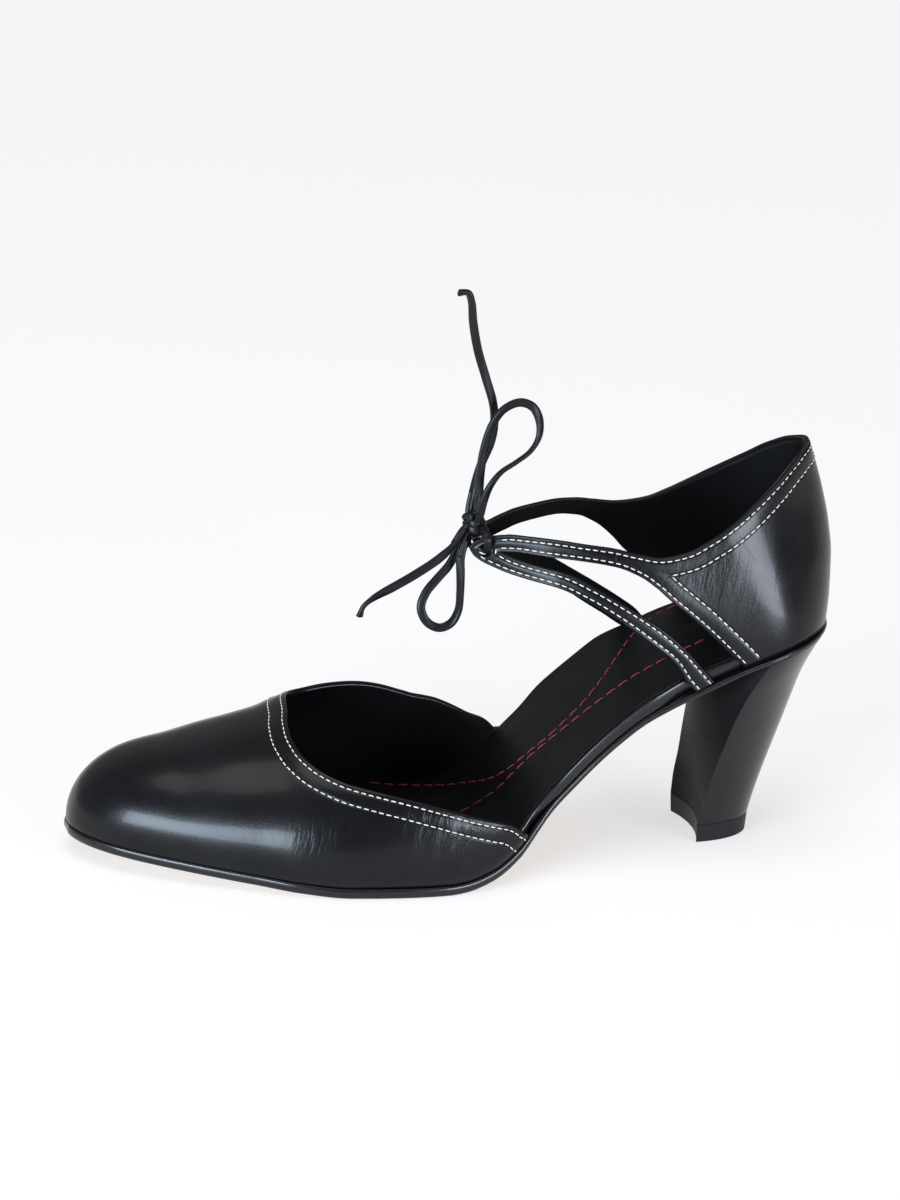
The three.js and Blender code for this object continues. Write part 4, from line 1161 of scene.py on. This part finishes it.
class SHOE_OT_camera(bpy.types.Operator):
    """Place the camera at the photograph's angle, aimed at the shoe"""

    bl_idname = "shoe.camera"
    bl_label = "Camera"

    def execute(self, context):
        data = bpy.data.cameras.new("camera")
        data.sensor_width = 36.0
        data.lens = CAMERA_LENS
        data.clip_end = 20.0
        camera = add("camera", data)
        place = Vector(in_metres(CAMERA_PLACE))
        aim = Vector(in_metres(CAMERA_AIM))
        ahead = (aim - place).normalized()
        right = ahead.cross(Vector(CAMERA_UP)).normalized()
        up = right.cross(ahead)
        turned = Matrix((right, up, -ahead)).transposed().to_4x4()
        camera.matrix_world = Matrix.Translation(place) @ turned
        context.scene.camera = camera
        return {"FINISHED"}


class SHOE_OT_lace(bpy.types.Operator):
    """Make the leather thong: crossing through both punched holes, knot, two loops and two ends"""

    bl_idname = "shoe.lace"
    bl_label = "Lace"

    def execute(self, context):
        shape = shape_of(context)
        leather = finish_of("thong_leather", thong_leather, context.scene.shoe_look)
        width, thick = shape.size["thong_width"], shape.size["thong_thick"]

        knot = self.knot(width, thick, leather)
        for name, route in LACE_ROUTES.items():
            path = thong_path(np.array(route))
            share = np.linspace(0, 1, len(path))
            twist = 0.35 + 0.75 * np.sin(2 * math.pi * share * 1.2 + len(name))
            points, faces = tube(path, width, thick, twist)
            strand = mesh_piece(name + "_thong", points, faces, [leather], stands_for=[name])
        self.crossing(shape, leather)
        return {"FINISHED"}

    def knot(self, width, thick, leather):
        """The knot: a drawn in core, a band of thong wound round it, and the strands where they leave it."""
        turn = np.linspace(0.4, 4.3 * math.pi, 150)
        radius = KNOT_RADIUS + 0.3 * np.sin(turn * 0.5 + 0.6)
        tilt = 0.32 * radius * np.cos(turn - 0.6)
        ring = together(radius * np.cos(turn) * 0.92, radius * np.sin(turn), tilt + 0.9 * (turn - 7) / 3)
        tubes = [tube(KNOT_CENTRE + ring, width, thick * 1.05, turn * 0 + 0.1)]
        for start, name, count in KNOT_LEADS:
            route = LACE_ROUTES[name]
            lead = [start, *(route[:count] if count > 0 else route[: count - 1 : -1])]
            path = thong_path(np.array(lead))
            tubes.append(tube(path, width * 0.95, thick * 0.95, np.linspace(0.5, 0.15, len(path))))
        up = np.linspace(-1, 1, 22)[:, None]
        about = np.linspace(0, 2 * math.pi, 28, endpoint=False)[None, :]
        girth = KNOT_RADIUS * np.sqrt(1.001 - up**2) * (1 + 0.1 * np.sin(3 * about + 2 * up))
        core = together(girth * np.cos(about), girth * np.sin(about), KNOT_HALF * up)
        tubes.append(stack(KNOT_CENTRE + core))
        points, faces = [], []
        for spots, sides in tubes:
            start = sum(map(len, points))
            faces += [[start + corner for corner in face] for face in sides]
            points.append(spots)
        piece = mesh_piece("lace_knot_thong", np.vstack(points), faces, [leather],
                           stands_for=["lace_knot"])
        return outward(piece)

    def crossing(self, shape, leather):
        """The thong from the knot over each tip's edge, in through its hole and across behind."""
        wall_thick = shape.size["wall"]
        sides = []
        for side in (1, -1):
            hole = hole_centre(shape, side)
            beyond = hole[1] + side * (wall_thick + CROSSING_OFF)
            top = shape.height_of(TIP[1, 5])
            sides.append([
                (KNOT_CENTRE[0] - 1.2, KNOT_CENTRE[1] + side * 4.0, KNOT_CENTRE[2] + 0.4),
                (hole[0] + 0.2, beyond + side * 0.4, top + 0.6),
                (hole[0], beyond + side * 0.2, (hole[2] + top) / 2),
                (hole[0], beyond - side * 0.9, hole[2] + 0.3),
                (hole[0], hole[1], hole[2]),
                (hole[0], hole[1] - side * wall_thick, hole[2] - 0.2),
            ])
        path = thong_path(np.array(sides[0] + sides[1][::-1]))
        points, faces = tube(path, CROSSING_WIDTH, CROSSING_THICK, np.full(len(path), 0.2))
        mesh_piece("lace_crossing_thong", points, faces, [leather], stands_for=["lace_crossing"])


class SHOE_OT_vamp(bpy.types.Operator):
    """Make the vamp, with two rows of stitching along its throat"""

    bl_idname = "shoe.vamp"
    bl_label = "Vamp"

    def execute(self, context):
        shape = shape_of(context)
        look = context.scene.shoe_look
        outer, inner, reach, around = vamp_grid(shape)
        flex = np.zeros(around.shape)
        for x, middle, long, wide, amount in VAMP_FLEX:
            flex += amount * np.exp(-(((outer[..., 0] - x) / long) ** 2) - ((around - middle) / wide) ** 2)
        points, faces, inside, values = wall(*sheet([(outer, inner, carry(reach, flex), False)]), bulge=0.5)
        outward(mesh_piece("vamp_leather", points, faces, upper_finishes(look), inside,
                           values, stands_for=["vamp"]))
        normal = grid_normals(outer)
        normal *= np.sign(normal[len(normal) // 3, normal.shape[1] // 2, 2])
        rows = [
            row_at(outer.transpose(1, 0, 2), normal.transpose(1, 0, 2), reach.T, offset * 1000)
            for offset in (look.first_row, look.second_row)
        ]
        sew("throat_stitching", rows, look)
        return {"FINISHED"}


def sew(name, rows, look):
    """Contrast stitching of the upper along rows."""
    points, faces = stitches(rows, look.stitch_pitch * 1000, look.stitch_length * 1000,
                             look.thread_thick * 1000, 0.12, KNOT_HIDES)
    finish = finish_of("seam_thread", thread, look.seam_thread)
    return outward(mesh_piece(name, points, faces, [finish]))


class SHOE_OT_quarter(bpy.types.Operator):
    """Make the counter and its four straps, punched and stitched"""

    bl_idname = "shoe.quarter"
    bl_label = "Quarter and straps"

    def execute(self, context):
        shape = shape_of(context)
        look = context.scene.shoe_look
        first, second = look.first_row * 1000, look.second_row * 1000
        parts = [self.counter(shape, (first, second))]
        for strap, side in ((OUTER_STRAP, 1), (INNER_STRAP, -1)):
            parts += [self.strap(shape, strap, side, first), self.tip(shape, side, first)]
        points, faces, inside, values = wall(*sheet([grid for grid, _ in parts]), bulge=0.3)
        quarter = mesh_piece("quarter_leather", points, faces, upper_finishes(look), inside,
                             values, stands_for=["quarter"])
        outward(quarter)
        self.punch(quarter, shape)
        sew("quarter_stitching", [row for _, rows in parts for row in rows if len(row[0]) > 3], look)
        return {"FINISHED"}

    def counter(self, shape, offsets):
        """Grid of the counter and the upper straps, and their rows of stitches: along the upper edge and
        along each front edge, none past the edge that it meets."""
        outer, inner, normal = quarter_spots(shape, counter_places(shape))
        foot, middle = SEAT_STEPS * ROW_STEPS, (len(outer) - 1) // 2
        top = distance_to(outer, outer[:, -1])
        fronts = [outer[: middle - foot + 1, 0], outer[middle + foot :, 0]]
        front = np.minimum(distance_to(outer, fronts[0]), distance_to(outer, fronts[1]))
        flex = 0.0
        for along, rise, reach, amount in COUNTER_FLEX:
            centre = shape.skin(shape.place(along, rise, 1))
            flex = flex + amount * np.exp(-(((outer - centre) ** 2).sum(-1)) / reach**2)
        on_inner = (np.arange(len(outer)) < middle)[:, None]
        lap = outer[..., 0] - np.where(on_inner, LAPS[-1], LAPS[1]) * shape.size["strap_reach"]
        rows = []
        for offset in offsets:
            place, up = row_at(flip(outer), flip(normal), flip(top), offset)
            away = np.minimum(distance_to(place, fronts[0]), distance_to(place, fronts[1]))
            keep = away >= offset - ROW_SLACK
            rows.append((place[keep], up[keep]))
            for lines in (slice(0, middle), slice(middle + 1, None)):
                place, up = row_at(outer[lines], normal[lines], front[lines], offset)
                keep = distance_to(place, outer[:, -1]) >= offset - ROW_SLACK
                rows.append((place[keep], up[keep]))
        return (outer, inner, carry(np.minimum(top, front), flex, lap), False), rows

    def strap(self, shape, strap, side, offset):
        """Grid of a lower strap, and a row of stitches along each of its edges."""
        outer, inner, normal = quarter_spots(shape, strap_places(shape, strap, side))
        low, high = distance_to(outer, outer[:, 0]), distance_to(outer, outer[:, -1])
        rows = [row_at(outer, normal, low, offset), row_at(flip(outer), flip(normal), flip(high), offset)]
        return (outer, inner, carry(np.minimum(low, high)), side < 0), rows

    def tip(self, shape, side, offset):
        """Grid of a strap tip, and its rows of stitches: beside its edge and round the end of the slit."""
        outer, inner, normal = quarter_spots(shape, tip_places(shape, side))
        edge, edge_normal = (
            np.vstack([grid[:, 0], grid[-1, 1:-1], grid[::-1, -1]]) for grid in (outer, normal)
        )
        slit = outer[0, STRAP_ACROSS]
        reach = np.minimum(distance_to(outer, edge), np.linalg.norm(outer - slit, axis=-1))
        rows = [offset_row(edge, edge_normal, offset, outer[len(outer) // 2, STRAP_ACROSS]),
                self.slit_turn(outer, normal, offset)]
        return (outer, inner, carry(reach, lap=PAST_LAP), side < 0), rows

    def slit_turn(self, outer, normal, offset):
        """The row's turn round the end of the slit between the straps: part of a circle on the tip."""
        slit, up = outer[0, STRAP_ACROSS], normal[0, STRAP_ACROSS]
        ahead = outer[TIP_STEPS, STRAP_ACROSS] - slit
        ahead = unit(ahead - (ahead * up).sum() * up)
        across = np.cross(up, ahead)
        turn = np.radians(np.linspace(-95, 95, 24))[:, None]
        row = slit + offset * (np.cos(turn) * ahead + np.sin(turn) * across)
        return row, np.tile(up, (len(row), 1))

    def punch(self, quarter, shape):
        """Cuts the round hole through each strap tip."""
        for side in (1, -1):
            centre = hole_centre(shape, side)
            angle = np.linspace(0, 2 * math.pi, HOLE_SIDES, endpoint=False)
            radius = shape.size["hole_radius"]
            ring = together(radius * np.cos(angle), 0.0, radius * np.sin(angle))
            ends = [ring + (0, depth, 0) for depth in (-PUNCH_HALF, PUNCH_HALF)]
            points, faces = closed_tube(centre + np.stack(ends))
            mesh = bpy.data.meshes.new("punch")
            mesh.from_pydata(in_metres(points).tolist(), [], faces)
            cutter = outward(add("punch", mesh))
            cut = quarter.modifiers.new("hole", "BOOLEAN")
            cut.operation = "DIFFERENCE"
            cut.solver = "EXACT"
            cut.object = cutter
            apply_modifiers(quarter)
            bpy.data.objects.remove(cutter)


def apply_modifiers(piece):
    """Puts a piece's modifiers into its mesh."""
    bpy.context.view_layer.update()
    graph = bpy.context.evaluated_depsgraph_get()
    made = bpy.data.meshes.new_from_object(piece.evaluated_get(graph), depsgraph=graph)
    old = piece.data
    piece.modifiers.clear()
    piece.data = made
    made.name = old.name
    bpy.data.meshes.remove(old)


def plate(shape, inset, edge, under, over, bulge, steps=6):
    """A closed plate over the foot's plan, set in at both ends, between two surfaces of (x, side): places
    closer together at the ends and at the edges, whose distance from the middle line is edge(x, side).
    Returns points, faces and which of them lie underneath."""
    count = np.arange(PLAN_ALONG + 1) / PLAN_ALONG
    share = lerp(count, (1 - np.cos(np.pi * count)) / 2, 0.75)
    x = lerp(shape.size["seat_set"] + inset, shape.size["length"] - inset, share)[:, None]
    side = np.sin(np.linspace(-1, 1, PLAN_ACROSS + 1) * math.pi / 2)[None, :]
    y = shape.centre(x) + side * edge(x, np.sign(side))
    upper, lower = together(x, y, over(x, side)), together(x, y, under(x, side))
    return wall(*sheet([(upper, lower, carry(np.zeros(upper.shape[:2])), False)]), bulge, steps)[:3]


def waist_inset(shape, x, side):
    """How far the insole's edge is set in: behind the upper, and nearly flush with the sole between the
    strap's foot and the vamp."""
    size = shape.size
    strap = np.where(side > 0, OUTER_STRAP[0, 2], INNER_STRAP[0, 2]) * size["strap_reach"] + 3
    ahead = np.where(side > 0, THROAT["start"][-1], THROAT["start"][0]) * size["length"] - 2
    out = smooth((x - strap + 3) / 14) * smooth((ahead - x) / 9)
    return lerp(shape.covered, BAND_INSET, out)


class SHOE_OT_sole(bpy.types.Operator):
    """Make the outsole, the insole with its glossy band, and the sock lining with its red stitching"""

    bl_idname = "shoe.sole"
    bl_label = "Sole, insole and sock"

    def execute(self, context):
        shape = shape_of(context)
        look = context.scene.shoe_look
        size = shape.size
        black = finish_of("edge_leather", edge_leather, look)
        tan = finish_of("sole_leather", sole_leather, look)
        sock = finish_of("sock_leather", sock_leather, look)

        def outsole_edge(x, side):
            return shape.outline(x) - OUTSOLE_INSET * shape.closing(x)

        def insole_edge(x, side):
            half = shape.half_ball * shape.sole["half"](x / size["length"])
            return (half - waist_inset(shape, x, side)) * shape.closing(x, shape.covered)

        def sock_edge(x, side):
            return insole_edge(x, side) - 0.7 * shape.closing(x, shape.covered)

        def raised(surface, lift):
            return lambda x, side: surface(x, side) + lift

        points, faces, below = plate(shape, OUTSOLE_INSET, outsole_edge, shape.under, shape.sole_top, 0.5)
        outward(mesh_piece("outsole_leather", points, faces, [black, tan], below,
                           stands_for=["outsole"]))
        points, faces, _ = plate(shape, shape.covered, insole_edge, raised(shape.sole_top, size["gap"]),
                                 shape.insole_top, 0.3, steps=8)
        outward(mesh_piece("insole_cover", points, faces, [black], stands_for=["insole"]))
        points, faces, _ = plate(shape, shape.covered + SOCK_INSET, sock_edge,
                                 raised(shape.insole_top, SOCK_GAP),
                                 raised(shape.insole_top, SOCK_THICK), 0.25)
        outward(mesh_piece("sock_lining", points, faces, [sock]))

        rows = []
        for row in SOCK_ROWS:
            flat = spline(np.array(row), np.linspace(0, len(row) - 1, 120))
            half = shape.outline(flat[:, 0])
            share = np.clip((flat[:, 1] - shape.centre(flat[:, 0])) / half, -1, 1)
            height = shape.insole_top(flat[:, 0], share) + SOCK_THICK
            up = together(-np.gradient(height, flat[:, 0]), 0.0, 1.0)
            rows.append((np.column_stack([flat, height]), unit(up)))
        points, faces = stitches(rows, look.sock_pitch * 1000, look.sock_stitch * 1000,
                                 look.thread_thick * 1400, 0.1)
        red = finish_of("sock_thread", thread, look.sock_thread)
        outward(mesh_piece("sock_stitching", points, faces, [red]))
        return {"FINISHED"}


class SHOE_OT_heel(bpy.types.Operator):
    """Make the covered block heel and its top piece"""

    bl_idname = "shoe.heel"
    bl_label = "Heel"

    def execute(self, context):
        shape = shape_of(context)
        look = context.scene.shoe_look
        levels = 1 - (1 - np.linspace(0, 1, HEEL_LEVELS)) ** 1.15
        points, faces = stack(np.stack([heel_ring(shape, level) for level in levels]))
        polished = finish_of("heel_leather", heel_leather, look, 0.0)
        breast = finish_of("breast_leather", heel_leather, look, BREAST_DULL)
        around = len(points) // len(levels)
        spot = np.arange(len(faces))
        column = spot % around
        front = (column >= around // 4) & (column < 3 * around // 4) & (spot < len(points) - around)
        heel = mesh_piece("heel_cover", points, faces, [polished, breast], part=front,
                          smooth_to=SHARP, stands_for=["heel"])
        bevel(outward(heel))

        flat = heel_ring(shape, 0.0) * (1, 1, 0)
        worn = lerp(flat.mean(0), flat, WORN)
        points, faces = stack(np.stack([worn, flat + (0, 0, shape.size["top_piece_thick"] + TIP_RISE)]))
        black = finish_of("top_piece_rubber", rubber, look)
        tip = mesh_piece("heel_tip", points, faces, [black], smooth_to=SHARP,
                         stands_for=["heel_top_piece"])
        bevel(outward(tip))
        return {"FINISHED"}


class SHOE_OT_stage(bpy.types.Operator):
    """Make the plain pale floor and the soft studio light"""

    bl_idname = "shoe.stage"
    bl_label = "Floor and light"

    def execute(self, context):
        scene = context.scene
        mesh = bpy.data.meshes.new("floor")
        turns = ((-1, -1), (1, -1), (1, 1), (-1, 1))
        corners = [(x * FLOOR_HALF, y * FLOOR_HALF, FLOOR_LEVEL) for x, y in turns]
        mesh.from_pydata(corners, [], [(0, 1, 2, 3)])
        floor = add("floor", mesh)
        paper = Finish("paper")
        mesh.materials.append(paper.use(Base_Color=(0.42, 0.42, 0.42, 1.0), Roughness=0.9,
                                        Specular_IOR_Level=0.0, Emission_Color=(1.0, 0.995, 0.99, 1.0),
                                        Emission_Strength=0.6))

        world = bpy.data.worlds.new("studio")
        world.use_nodes = True
        sky = world.node_tree.nodes["Background"]
        sky.inputs["Color"].default_value = (0.95, 0.97, 1.0, 1.0)
        sky.inputs["Strength"].default_value = 0.3
        scene.world = world
        scene.view_settings.view_transform = "Standard"

        data = bpy.data.lights.new("window", "SUN")
        data.energy = 1.25
        data.angle = math.radians(50)
        data.color = (1.0, 0.99, 0.975)
        window = add("window", data)
        window.rotation_euler = Vector((-0.06, -0.12, -1.0)).to_track_quat("-Z", "Y").to_euler()
        self.lamp("toe glow", (1.0, 0.78, 0.22), (0.09, 0.02, 0.02), 0.8, 0.4, 26.0, (0.7, 0.84, 1.0))
        self.lamp("counter glow", (-0.72, 1.12, 0.18), (-0.09, 0.025, 0.08), 0.62, 0.32, 14.0,
                  (0.8, 0.87, 1.0))
        return {"FINISHED"}

    def lamp(self, name, place, aim, width, height, power, tint):
        """A soft box at a place, facing a point of the shoe."""
        data = bpy.data.lights.new(name, "AREA")
        data.shape = "RECTANGLE"
        data.size = width
        data.size_y = height
        data.energy = power
        data.color = tint
        lamp = add(name, data)
        lamp.location = place
        lamp.rotation_euler = (Vector(aim) - Vector(place)).to_track_quat("-Z", "Y").to_euler()


MAKERS = (
    SHOE_OT_camera,
    SHOE_OT_lace,
    SHOE_OT_vamp,
    SHOE_OT_quarter,
    SHOE_OT_sole,
    SHOE_OT_heel,
    SHOE_OT_stage,
)


class SHOE_PT_panel(bpy.types.Panel):
    """Lists the sizes and colours, and the pieces to make"""

    bl_idname = "SHOE_PT_panel"
    bl_label = "Court shoe"
    bl_space_type = "VIEW_3D"
    bl_region_type = "UI"
    bl_category = "Court shoe"

    def draw(self, context):
        for group in (context.scene.shoe_sizes, context.scene.shoe_look):
            for name in group.__annotations__:
                self.layout.prop(group, name)
        for maker in MAKERS:
            self.layout.operator(maker.bl_idname)


CLASSES = (ShoeSizes, ShoeLook, *MAKERS, SHOE_PT_panel)


def register():
    for kind in CLASSES:
        bpy.utils.register_class(kind)
    bpy.types.Scene.shoe_sizes = bpy.props.PointerProperty(type=ShoeSizes)
    bpy.types.Scene.shoe_look = bpy.props.PointerProperty(type=ShoeLook)


def unregister():
    del bpy.types.Scene.shoe_look
    del bpy.types.Scene.shoe_sizes
    for kind in reversed(CLASSES):
        bpy.utils.unregister_class(kind)


def main():
    register()
    for maker in MAKERS:
        group, name = maker.bl_idname.split(".")
        result = getattr(getattr(bpy.ops, group), name)()
        if result != {"FINISHED"}:
            raise RuntimeError(maker.bl_label + " wasn't made")


if __name__ == "__main__":
    main()
